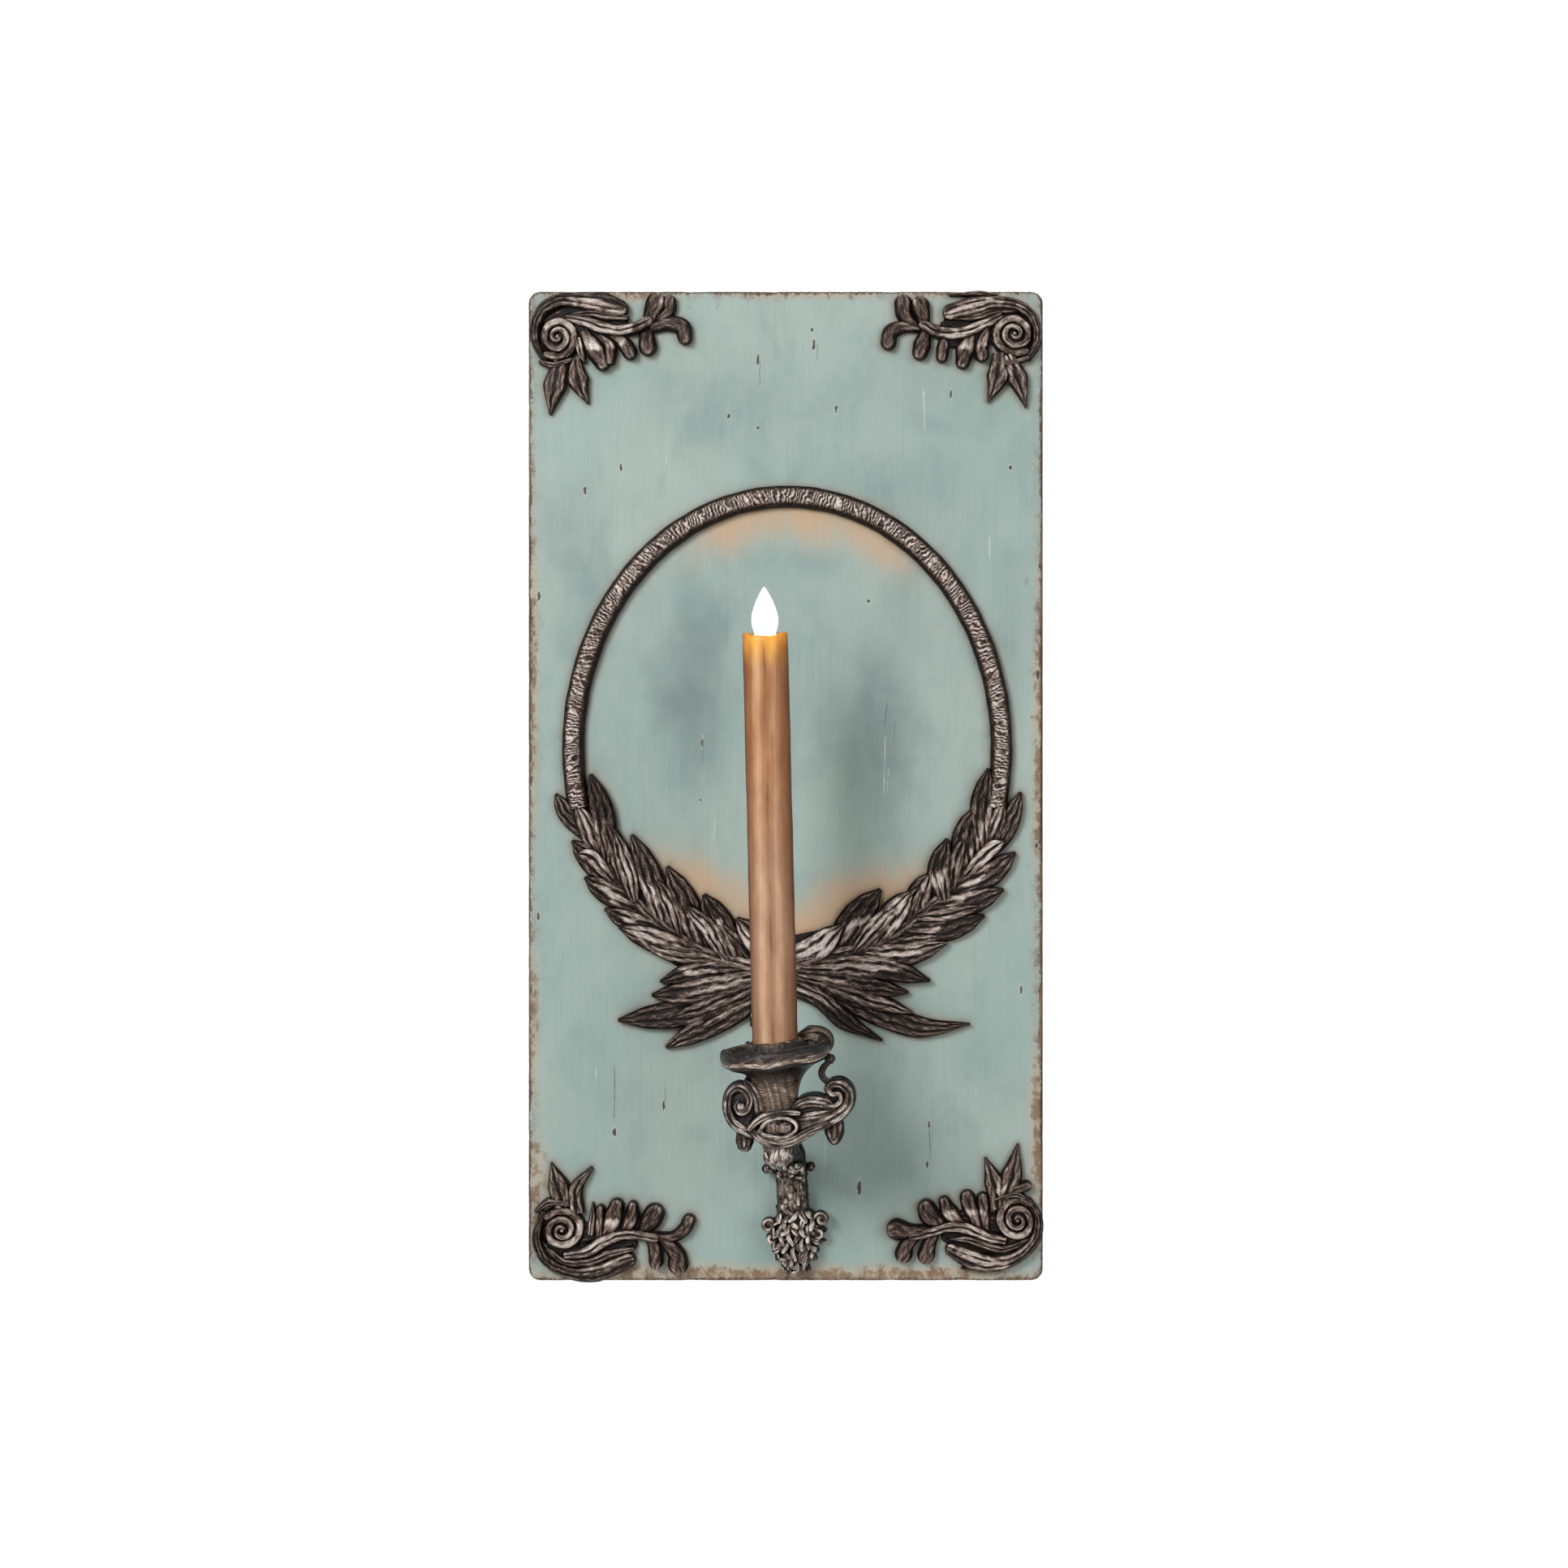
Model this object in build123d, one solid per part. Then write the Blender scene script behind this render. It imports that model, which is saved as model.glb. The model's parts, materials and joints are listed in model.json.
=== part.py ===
"""Wall sconce candle holder: a painted wooden plaque with cast onlays and a cast arm that carries a flameless taper.

Millimetres. +X is to the viewer's right, +Z is up and -Y is out of the wall. The origin is the middle of the
board's back, which is the face that lies on the wall. The arm, cradle, cup and candle are drawn in an upright
frame of their own, at the arm's foot, and ARM_PLACE then sets that frame on the board with its slight lean.
"""

from build123d import *
import math
import os

# ---------------------------------------------------------------- driving dimensions
BOARD_W = 260.0
BOARD_H = 500.0
BOARD_T = 18.0
BOARD_CORNER_R = 6.0
BOARD_EDGE_R = 1.2

RING_CENTRE = (1.0, 19.0)
RING_A = 108.0
RING_B = 127.0
RING_BAND = 11.0
RING_HEIGHT = 7.0
RING_END_Z = -4.0

SPRIG_SPLIT_X = -5.0
SPRIG_SPLIT_GAP = 0.05
LEAF_HEIGHT = 5.0
STEM_HEIGHT = 6.5
VOLUTE_HEIGHT = 5.5
EYE_HEIGHT = 7.0

# The arm's own frame: s is the height above the foot and d the distance out from the board's face.
AXIS_FOOT = (2.6, -230.0)
ARM_LEAN = 1.4
AXIS_D = 72.0
STEM_X = 2.5
STEM_D = 6.5
STEM_SECTION = (7.8, 6.4)
STEM_BENDS = (18.0, 11.0)
HUB_R = 9.5
HUB_TOP_S = 64.0

ARM_SCREW_S = (-4.0, 26.0)
ARM_SCREW_R = 2.0
ARM_SCREW_DEPTH = 9.0
ARM_SCREW_HEAD_R = 4.0
ARM_SCREW_HEAD_H = 2.4
ARM_SCREW_SINK = 4.4
THREAD_GAP = 0.02

CUP_BOTTOM_S = 77.0
CUP_FLOOR_S = 81.0
NECK_R = 9.4
NECK_BORE_R = 7.4
SEAT_S = 99.0
SOCKET_R = 11.4
RIM_R = 25.5
RIM_TOP_S = 107.5
RIM_TILT = 4.0
COLLAR_R = 13.2
COLLAR_TOP_S = 109.6
CUP_SCREW_R = 2.5
CUP_SCREW_TIP_S = 54.0
CUP_SCREW_HEAD_R = 4.5
CUP_SCREW_HEAD_H = 2.2

CANDLE_R = 11.0
CANDLE_WALL = 1.35
CANDLE_TOP_S = 303.0
CANDLE_LID = 3.0
FLAME_R = 6.5
FLAME_TIP_S = 324.0
FLAME_WALL = 0.9

SPIGOT_R = 7.2
CAP_BOTTOM_S = 83.9
CAP_FLOOR_S = 86.3
CAP_TOP_S = 91.9
CAP_BORE_R = 6.3
CAP_TWIST = 50.0
LUG_R = 6.72
LUG_LOW_S = 88.4
LUG_HIGH_S = 90.0
LUG_GAP = 0.15
TUBE_BORE_R = 5.6
TUBE_R = 6.9
TUBE_NECK_R = 6.2
BATTERY_R = 5.25
BATTERY_BODY = 43.4
BATTERY_NUB = 1.1
BATTERY_LOW_S = 89.2
CONTACT_T = 0.7
LED_BOARD_S = 289.0
LED_BOARD_T = 1.6
LED_R = 2.5

HANGER_X = 75.0
HANGER_Z = 195.0
HANGER_PLATE = (16.0, 46.0, 1.5)
HANGER_SCREW_Z = 18.0
HANGER_SCREW_R = 1.5
HANGER_HEAD_R = 2.9
HANGER_HEAD_T = 0.75
KEYHOLE_R = 4.5
KEYHOLE_SLOT_R = 2.2
KEYHOLE_DROP = 9.0
KEYHOLE_LOW = 4.0
HANGER_POCKET_DEPTH = 9.0

FACE_Y = -BOARD_T
ARM_PLACE = Location((AXIS_FOOT[0], FACE_Y, AXIS_FOOT[1]), (0, -ARM_LEAN, 0))

# Relief bands on the board. Each is (centre line through (x, z) points, width at each point). A width of 0 is a
# pointed tip, and any other width ends round.
CORNER_TOP_LEFT = {
    "volute": ((-114.5, 226.0), 12.0),
    "bands": [
        ([(-120, 214), (-126, 226), (-122, 238), (-111, 244), (-98, 245.3), (-84, 242.5)], [3, 4.5, 5, 6, 7, 8]),
        ([(-114, 238), (-104, 240), (-95, 238), (-86, 236.5), (-78, 236.5)], [3, 4, 5, 4, 0]),
        ([(-112, 236), (-103, 235), (-95, 231), (-86, 228.5), (-77, 229), (-70, 232)], [4, 5, 6, 6, 5, 5]),
        ([(-70, 230), (-68, 237), (-66, 244)], [4, 6, 7]),
        ([(-65, 233), (-61, 238), (-59, 243.5)], [4, 6, 7]),
        ([(-68, 231), (-61, 232.5), (-54, 231.5), (-50.8, 227)], [4, 4, 6, 6]),
        ([(-71, 228), (-69.5, 224), (-69, 220.5)], [5, 7, 7.5]),
        ([(-85, 226), (-80, 222), (-78, 218)], [3, 6, 6]),
        ([(-97, 229), (-94, 221), (-92.5, 212.5)], [5, 8.5, 5]),
        ([(-90, 226), (-87.3, 219), (-88, 213.5)], [3, 5, 4]),
        ([(-103, 227), (-102, 219), (-101, 213)], [4, 4, 0]),
        ([(-112, 214), (-116, 203), (-118.5, 188.5)], [8, 10, 0]),
        ([(-106, 218), (-104.5, 206), (-99.3, 194)], [4, 10, 0]),
    ],
}
CORNER_TOP_RIGHT = {
    "volute": ((115.5, 227.5), 12.3),
    "bands": [
        ([(121, 214), (126.8, 224), (125, 235), (117, 242), (106, 243.3), (95, 241.5), (84, 240)],
         [2, 3, 4.5, 5, 6, 6.5, 7.5]),
        ([(118, 240), (104, 238), (95, 236), (80.5, 235.5)], [3, 3, 3, 0]),
        ([(108, 236), (98, 231), (88, 228), (78, 228.5), (70, 232)], [4, 5, 6, 6, 5]),
        ([(70, 230), (69, 237), (68, 243)], [4, 6, 7]),
        ([(66, 231), (60, 238), (58.5, 243.5)], [4, 6, 7]),
        ([(68, 231), (60, 231), (53.5, 229), (52, 223.5)], [4, 5, 6, 6]),
        ([(70, 229), (68.8, 222), (68, 218.5)], [5, 7, 6]),
        ([(80, 227), (79.5, 221), (79, 216.5)], [3, 5, 4.5]),
        ([(93, 228), (91, 220), (89.5, 214)], [5, 8.5, 5]),
        ([(101, 230), (99, 222), (99, 217.5)], [4, 6, 5]),
        ([(108, 218), (107, 206), (102.5, 194.3)], [8, 10, 0]),
        ([(112, 217), (117.5, 205), (121.3, 191.5)], [6, 9, 0]),
    ],
}
CORNER_BOTTOM_LEFT = {
    "volute": ((-112.3, -223.5), 12.3),
    "bands": [
        ([(-123, -214), (-125.3, -228), (-120, -239), (-108, -245), (-95, -245), (-79.5, -238.5)],
         [3, 4, 5, 6, 7, 6]),
        ([(-119, -234), (-110, -239.5), (-98, -239), (-88, -235), (-78, -233.5)], [3, 4, 4, 4, 3]),
        ([(-110, -236), (-100, -234), (-91, -229), (-82, -226), (-73, -226), (-66, -227)], [4, 5, 6, 5, 5, 5]),
        ([(-113, -213), (-115, -201), (-118, -190.5)], [9, 9, 0]),
        ([(-105, -215), (-105, -203), (-98, -193)], [7, 6, 2]),
        ([(-98, -225), (-97, -217), (-97, -211)], [3, 3, 0]),
        ([(-94, -230), (-93.5, -219), (-93, -212)], [4, 4, 0]),
        ([(-90, -229), (-87, -219), (-85, -211)], [4, 8.5, 5]),
        ([(-80, -226), (-77.5, -217), (-76.5, -211)], [4, 7, 3.5]),
        ([(-72, -226), (-68, -219), (-66, -215.5)], [4, 9, 8]),
        ([(-67, -227), (-56, -227), (-50.5, -223), (-48.5, -219)], [4, 4, 5, 5]),
        ([(-68, -227), (-65.5, -234), (-65, -239.5)], [4, 6, 6]),
        ([(-62, -227), (-55.5, -235), (-54, -241.5)], [4, 7, 8]),
    ],
}
CORNER_BOTTOM_RIGHT = {
    "volute": ((117.0, -218.5), 12.3),
    "bands": [
        ([(121, -207), (127.3, -218), (125.5, -229), (116, -237.5), (104, -240), (86, -234.5)],
         [3, 4, 5, 6, 6.5, 7]),
        ([(122, -229), (110, -233), (100, -230.5), (92, -228), (83.5, -228)], [3, 4, 4, 3, 0]),
        ([(111, -228), (102, -226.5), (92, -222.5), (82, -222), (72, -225), (64, -227)], [5, 5, 6, 5, 5, 4]),
        ([(107, -213), (105, -199), (101, -188)], [7, 8.5, 0]),
        ([(109, -210), (114.5, -196), (117.5, -181)], [6, 9, 0]),
        ([(110, -208), (116, -203), (121.5, -201.5)], [4, 5, 4]),
        ([(100.5, -224), (100, -213), (99.5, -207)], [4, 5, 4.5]),
        ([(98, -223), (93, -213), (91.5, -207.5)], [4, 6, 6]),
        ([(89, -221), (83, -215), (80.3, -209.5)], [4, 7, 4.5]),
        ([(79, -222), (73, -216.5), (71.3, -213)], [5, 9, 7]),
        ([(72, -224), (64, -224), (55.8, -223.5)], [5, 5, 9]),
        ([(67, -226), (61.5, -231), (59.7, -235.7)], [4, 6, 7]),
        ([(76, -224), (72.5, -231), (71, -236)], [4, 6, 7]),
    ],
}
SPRIG_LEFT = {
    "stem": ([(-100, -22), (-92, -38), (-80, -54), (-62, -72), (-40, -86), (-4, -93)], [4, 6, 7, 8, 9, 10]),
    "leaves": [
        ([(-97, -27), (-109, -14), (-115.7, -4)], 9), ([(-88, -36), (-92, -14), (-98, 6)], 10),
        ([(-92, -38), (-98, -22), (-104, -9)], 9), ([(-80, -53), (-97, -40), (-107.3, -27.5)], 11),
        ([(-70, -64), (-88, -56), (-101, -46)], 12), ([(-48, -84), (-66, -77), (-83.7, -70.5)], 12),
        ([(-74, -58), (-80, -38), (-87, -18)], 10), ([(-62, -68), (-69, -46), (-77.5, -24)], 11),
        ([(-42, -82), (-51, -60), (-60, -40)], 13), ([(-24, -88), (-34, -70), (-43, -54)], 14),
        ([(-6, -90), (-17, -80), (-25, -66)], 14),
        ([(-20, -92), (-42, -94), (-62, -98)], 10), ([(-16, -96), (-42, -103), (-66.3, -105)], 12),
        ([(-14, -99), (-50, -115), (-84, -118)], 12), ([(-10, -100), (-34, -117), (-59, -131.5)], 12),
        ([(-6, -98), (-12, -112), (-19, -123)], 9),
    ],
}
SPRIG_RIGHT = {
    "stem": ([(104, -20), (98, -36), (84, -50), (64, -67), (40, -81), (-6, -92)], [4, 6, 7, 8, 9, 10]),
    "leaves": [
        ([(103, -32), (113, -18), (118.7, -3)], 9), ([(98, -30), (99.5, -10), (102.5, 9)], 10),
        ([(98, -36), (106, -20), (109, -8)], 9), ([(84, -50), (101, -44), (116, -33.5)], 11),
        ([(72, -62), (92, -58), (110, -52)], 12), ([(58, -73), (80, -71), (100, -65.5)], 11),
        ([(36, -84), (60, -84), (81.5, -79)], 11),
        ([(90, -44), (91, -28), (95.5, -10.5)], 12), ([(78, -54), (78, -40), (81, -26.5)], 10),
        ([(64, -66), (67, -56), (72, -44.5)], 11), ([(46, -77), (55, -66), (63, -54)], 13),
        ([(24, -86), (36, -68), (48, -52.5)], 14), ([(2, -88), (16, -82), (28, -71)], 13),
        ([(14, -91), (46, -92), (72.5, -98)], 11), ([(12, -94), (38, -100), (60, -104)], 10),
        ([(4, -94), (46, -114), (68, -121.5), (92, -120)], [9, 13, 10, 0]),
        ([(-2, -98), (16, -105), (30, -118), (49, -128)], [9, 10, 10, 0]),
    ],
}


# ---------------------------------------------------------------- helpers
def side_points(points, widths):
    """The points half a width to the left and to the right of a centre line in X and Z."""
    left = []
    right = []
    for i, (x, z) in enumerate(points):
        x0, z0 = points[max(i - 1, 0)]
        x1, z1 = points[min(i + 1, len(points) - 1)]
        length = math.hypot(x1 - x0, z1 - z0)
        nx = -(z1 - z0) / length
        nz = (x1 - x0) / length
        half = widths[i] / 2
        left.append((x + nx * half, z + nz * half))
        right.append((x - nx * half, z - nz * half))
    return left, right


def on_face(point):
    return Vector(point[0], FACE_Y, point[1])


def band(points, widths, height):
    """A flat-backed band on the board's face, along a centre line, with round or pointed ends."""
    left, right = side_points(points, widths)
    edges = [Spline(*[on_face(p) for p in left]), Spline(*[on_face(p) for p in right])]
    for end, inner in ((0, 1), (-1, -2)):
        if widths[end] > 0:
            x, z = points[end]
            dx = x - points[inner][0]
            dz = z - points[inner][1]
            reach = widths[end] / 2 / math.hypot(dx, dz)
            middle = (x + dx * reach, z + dz * reach)
            edges.append(ThreePointArc(on_face(left[end]), on_face(middle), on_face(right[end])))
    return extrude(Face(Wire(edges)), amount=height, dir=(0, -1, 0))


def leaf(points, width):
    """A laurel leaf: half its width at the base, its full width at the middle and a pointed tip."""
    widths = width if isinstance(width, list) else [width * 0.5, width, 0]
    return band(points, widths, LEAF_HEIGHT)


def boss(x, z, radius, height):
    """A round boss on the board's face."""
    return Pos(x, FACE_Y - height / 2, z) * Cylinder(radius, height, rotation=(90, 0, 0))


def fuse_in_turn(solids):
    """One solid from many, joined one after another."""
    whole = solids[0]
    for solid in solids[1:]:
        whole = whole + solid
    return whole


def ball(x, d, s, rx, rd, rs):
    """An ellipsoid in the arm's own frame."""
    return Pos(x, -d, s) * scale(Sphere(1), by=(rx, rd, rs))


def across(x, d, s, radius, depth):
    """A cylinder in the arm's own frame that lies front to back."""
    return Pos(x, -d, s) * Cylinder(radius, depth, rotation=(90, 0, 0))


def turned(profile):
    """A solid turned about the candle's axis from (radius, s) points, in the arm's own frame."""
    outline = Polyline(*[(r, 0, s) for r, s in profile], close=True)
    return Pos(0, -AXIS_D, 0) * revolve(Face(Wire(outline.edges())), Axis.Z)


def upright(radius, low, high, x=0.0):
    """A cylinder beside or on the candle's axis, between two heights."""
    return Pos(x, -AXIS_D, (low + high) / 2) * Cylinder(radius, high - low)


# ---------------------------------------------------------------- plaque
def back_board():
    """The painted board, with its pockets for the two hangers and its holes for the arm's two screws."""
    board = Pos(0, -BOARD_T / 2, 0) * Box(BOARD_W, BOARD_T, BOARD_H)
    board = fillet(board.edges().filter_by(Axis.Y), BOARD_CORNER_R)
    board = fillet(board.faces().sort_by(Axis.Y)[0].edges(), BOARD_EDGE_R)
    plate_w, plate_h, plate_t = HANGER_PLATE
    for x in (-HANGER_X, HANGER_X):
        board -= Pos(x, 0, HANGER_Z) * Box(plate_w + 0.4, 2 * plate_t, plate_h + 0.4)
        board -= Pos(x, 0, HANGER_Z) * Box(11, 2 * HANGER_POCKET_DEPTH, 24)
        for dz in (-HANGER_SCREW_Z, HANGER_SCREW_Z):
            board -= Pos(x, 0, HANGER_Z + dz) * Cylinder(HANGER_SCREW_R + THREAD_GAP, 24, rotation=(90, 0, 0))
    for s in ARM_SCREW_S:
        way = Cylinder(ARM_SCREW_R + 0.3, 4 * BOARD_T, rotation=(90, 0, 0))
        sink = Cylinder(ARM_SCREW_HEAD_R + 0.4, 2 * ARM_SCREW_SINK, rotation=(90, 0, 0))
        board -= ARM_PLACE * Pos(STEM_X, 0, s) * way
        board -= ARM_PLACE * Pos(STEM_X, BOARD_T, s) * sink
    return board


def hanger(x):
    """A keyhole plate, let in flush with the board's back."""
    plate_w, plate_h, plate_t = HANGER_PLATE
    plate = Pos(x, -plate_t / 2, HANGER_Z) * Box(plate_w, plate_t, plate_h)
    plate = fillet(plate.edges().filter_by(Axis.Y), 3)
    entry_z = HANGER_Z - KEYHOLE_LOW
    plate -= Pos(x, 0, entry_z) * Cylinder(KEYHOLE_R, 8, rotation=(90, 0, 0))
    plate -= Pos(x, 0, entry_z + KEYHOLE_DROP / 2) * Box(2 * KEYHOLE_SLOT_R, 8, KEYHOLE_DROP)
    plate -= Pos(x, 0, entry_z + KEYHOLE_DROP) * Cylinder(KEYHOLE_SLOT_R, 8, rotation=(90, 0, 0))
    for dz in (-HANGER_SCREW_Z, HANGER_SCREW_Z):
        plate -= Pos(x, 0, HANGER_Z + dz) * Cylinder(HANGER_SCREW_R + 0.1, 8, rotation=(90, 0, 0))
        plate -= Pos(x, 0, HANGER_Z + dz) * Cylinder(HANGER_HEAD_R + 0.1, 2 * HANGER_HEAD_T, rotation=(90, 0, 0))
    return plate


def hanger_screws():
    """Four small wood screws whose flat heads lie flush in the plates."""
    screws = []
    for x in (-HANGER_X, HANGER_X):
        for dz in (-HANGER_SCREW_Z, HANGER_SCREW_Z):
            shank = Pos(0, -5.75, 0) * Cylinder(HANGER_SCREW_R, 11.5, rotation=(90, 0, 0))
            head = Pos(0, -HANGER_HEAD_T / 2, 0) * Cylinder(HANGER_HEAD_R, HANGER_HEAD_T, rotation=(90, 0, 0))
            screws.append(Pos(x, 0, HANGER_Z + dz) * (shank + head))
    return Compound(screws)


def rope_ring():
    """The oval moulding: a half-round band over the top that stops where the sprigs begin."""
    cx, cz = RING_CENTRE
    drop = math.degrees(math.asin((RING_END_Z - cz) / RING_B))
    plane = Plane(origin=(cx, FACE_Y, cz), x_dir=(1, 0, 0), z_dir=(0, -1, 0))
    path = plane * EllipticalCenterArc((0, 0), RING_A, RING_B, start_angle=drop, arc_size=180 - 2 * drop)
    across_path = Plane(origin=path @ 0, x_dir=(0, -1, 0), z_dir=path % 0)
    half = RING_BAND / 2
    shoulder = RING_HEIGHT * 0.35
    edges = [
        Line((0, -half), (0, half)),
        Line((0, half), (shoulder, half)),
        ThreePointArc((shoulder, half), (RING_HEIGHT, 0), (shoulder, -half)),
        Line((shoulder, -half), (0, -half)),
    ]
    section = Face(Wire([across_path * e for e in edges]))
    return sweep(section, path=path)


def corner(shape):
    """A cast corner onlay in one piece: a volute, its sweeping bands, lobes and leaves."""
    (x, z), radius = shape["volute"]
    solids = [boss(x, z, radius, VOLUTE_HEIGHT), boss(x, z, radius * 0.35, EYE_HEIGHT)]
    for i, (points, widths) in enumerate(shape["bands"]):
        solids.append(band(points, widths, STEM_HEIGHT if i < 3 else LEAF_HEIGHT))
    return fuse_in_turn(solids)


def sprig(shape, low_x, high_x):
    """A laurel sprig: a stem with overlapping leaves, cut square where it meets its neighbour."""
    solids = [band(*shape["stem"], STEM_HEIGHT)]
    for points, width in shape["leaves"]:
        solids.append(leaf(points, width))
    room = Pos((low_x + high_x) / 2, FACE_Y, 0) * Box(high_x - low_x, 40, BOARD_H)
    return (fuse_in_turn(solids) & room) - rope_ring()


# ---------------------------------------------------------------- arm, cradle and cup
def candle_arm():
    """The cast arm: a leafy bud on the board, a stem up the face, and a sweep out to a hub under the cup."""
    path = FilletPolyline(
        (STEM_X, -STEM_D, 2),
        (STEM_X, -STEM_D, 40),
        (0, -AXIS_D, 53),
        (0, -AXIS_D, HUB_TOP_S),
        radius=STEM_BENDS,
    )
    section = Plane(origin=path @ 0, z_dir=path % 0, x_dir=(1, 0, 0)) * Ellipse(*STEM_SECTION)
    arm = sweep(section, path=path)
    arm += upright(HUB_R, HUB_TOP_S - 5, HUB_TOP_S)
    arm += ball(STEM_X + 0.2, 1, 0, 14, 13, 16.5) - Pos(0, 20, 0) * Box(60, 40, 60)
    for x, s in ((-9.5, 10.5), (13.5, 12.5), (-8.5, 36), (10.5, 36.5)):
        arm += ball(x, 4.3, s, 6.3, 4.2, 3.6)
    arm -= upright(CUP_SCREW_R + THREAD_GAP, CUP_SCREW_TIP_S - 1, HUB_TOP_S + 5)
    for s in ARM_SCREW_S:
        hole = Cylinder(ARM_SCREW_R + THREAD_GAP, 2 * ARM_SCREW_DEPTH, rotation=(90, 0, 0))
        arm -= Pos(STEM_X, 0, s) * hole
    return arm


def arm_screws():
    """Two screws from the board's back into the arm, with sunk pan heads."""
    screws = []
    head_y = BOARD_T - ARM_SCREW_SINK
    for s in ARM_SCREW_S:
        length = head_y + ARM_SCREW_DEPTH - 0.5
        shank = Pos(0, head_y - length / 2, 0) * Cylinder(ARM_SCREW_R, length, rotation=(90, 0, 0))
        head = Cylinder(ARM_SCREW_HEAD_R, ARM_SCREW_HEAD_H, rotation=(90, 0, 0))
        head = Pos(0, head_y + ARM_SCREW_HEAD_H / 2, 0) * head
        slot = Pos(0, head_y + ARM_SCREW_HEAD_H, 0) * Box(1.2, 1.6, 10)
        screws.append(Pos(STEM_X, 0, s) * (shank + head - slot))
    return Compound(screws)


def scroll_cradle():
    """The casting between the arm and the cup: two volutes on a cross bar, with a cartouche and two pendants."""
    cradle = upright(11, HUB_TOP_S, CUP_BOTTOM_S)
    cradle += Pos(2, -AXIS_D, 72) * Box(40, 12, 9)
    cradle += across(-18.6, AXIS_D, 80.5, 8.4, 12)
    cradle += across(27.5, AXIS_D, 84.2, 8.0, 12)
    cradle += ball(22, AXIS_D, 77, 5, 5.5, 5)
    cradle += ball(-18, AXIS_D, 65.5, 3.8, 4.6, 7.2)
    cradle += ball(25.5, AXIS_D, 69, 4.4, 4.6, 8)
    cradle += ball(-3.3, AXIS_D + 9.6, 69.8, 6.8, 4.5, 4)
    cradle -= upright(CUP_SCREW_R + 0.3, HUB_TOP_S - 5, CUP_BOTTOM_S + 5)
    return cradle


def candle_cup():
    """The cast cup: a smooth neck, a wide tilted rim with a lobe at its back right, and a collar round the candle."""
    dish = turned([
        (0, 88),
        (9.6, 88),
        (11, 91),
        (14.5, 94.5),
        (20, 98),
        (24.3, 99.8),
        (RIM_R, 102.5),
        (RIM_R, RIM_TOP_S - 1),
        (RIM_R - 1.2, RIM_TOP_S),
        (RIM_R - 2.8, RIM_TOP_S - 0.8),
        (17.5, 103.2),
        (12.5, 102),
        (0, 102),
    ])
    tilt = Pos(0, -AXIS_D, 92) * Rot(0, -RIM_TILT, 0) * Pos(0, AXIS_D, -92)
    cup = tilt * dish + upright(NECK_R, CUP_BOTTOM_S, 92) + upright(COLLAR_R, 95, COLLAR_TOP_S)
    cup += ball(15, AXIS_D - 14, 108.2, 9, 4.5, 5.2)
    cup += ball(24.8, AXIS_D, 102, 2.6, 2.6, 2.6)
    cup += ball(25.6, AXIS_D, 97.3, 1.9, 2.2, 4.2)
    cup -= upright(NECK_BORE_R, CUP_FLOOR_S, SEAT_S + 5)
    cup -= upright(SOCKET_R, SEAT_S, RIM_TOP_S + 20)
    cup -= upright(CUP_SCREW_R + 0.3, CUP_BOTTOM_S - 5, CUP_FLOOR_S + 5)
    return cup


def cup_screw():
    """The slotted screw in the cup's floor that clamps the cup and the cradle to the arm."""
    top = CUP_FLOOR_S + CUP_SCREW_HEAD_H
    screw = upright(CUP_SCREW_R, CUP_SCREW_TIP_S, CUP_FLOOR_S + 1)
    screw += upright(CUP_SCREW_HEAD_R, CUP_FLOOR_S, top)
    return screw - Pos(0, -AXIS_D, top) * Box(12, 1.2, 2)


# ---------------------------------------------------------------- flameless taper
def candle_shell():
    """The taper's wax sleeve, with a mouth in its top for the flame."""
    inner = CANDLE_R - CANDLE_WALL
    return turned([
        (inner, SEAT_S),
        (CANDLE_R, SEAT_S),
        (CANDLE_R, CANDLE_TOP_S - 2),
        (CANDLE_R - 1.2, CANDLE_TOP_S),
        (FLAME_R + 0.2, CANDLE_TOP_S),
        (FLAME_R + 0.2, CANDLE_TOP_S - CANDLE_LID),
        (inner, CANDLE_TOP_S - CANDLE_LID),
    ])


def candle_flame():
    """The hollow flame, held by its flange under the sleeve's lid."""
    low = CANDLE_TOP_S - CANDLE_LID - 1.8
    flange = low + 1.8
    bore = FLAME_R - FLAME_WALL
    return turned([
        (bore, low),
        (9.4, low),
        (9.4, flange),
        (FLAME_R, flange),
        (FLAME_R, FLAME_TIP_S - 12),
        (FLAME_R - 0.6, FLAME_TIP_S - 7.5),
        (FLAME_R - 2.0, FLAME_TIP_S - 3.8),
        (FLAME_R - 4.2, FLAME_TIP_S - 1),
        (0, FLAME_TIP_S),
        (0, FLAME_TIP_S - 1.4),
        (FLAME_R - 4.6, FLAME_TIP_S - 2.4),
        (FLAME_R - 2.8, FLAME_TIP_S - 4.8),
        (FLAME_R - 1.5, FLAME_TIP_S - 8),
        (bore, FLAME_TIP_S - 12.2),
    ])


def flame_led():
    """The 5 mm LED on the small board, with its two leads."""
    low = LED_BOARD_S + LED_BOARD_T
    led = upright(LED_R + 0.4, low, low + 1)
    led += upright(LED_R, low, low + 5)
    led += ball(0, AXIS_D, low + 5, LED_R, LED_R, LED_R)
    for x in (-1.27, 1.27):
        led += upright(0.3, LED_BOARD_S - 1.5, low + 0.5, x)
    return led


def led_board():
    """The round circuit board that carries the LED."""
    board = upright(9.0, LED_BOARD_S, LED_BOARD_S + LED_BOARD_T)
    for x in (-1.27, 1.27):
        board -= upright(0.35, LED_BOARD_S - 1, LED_BOARD_S + 5, x)
    return board


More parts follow.
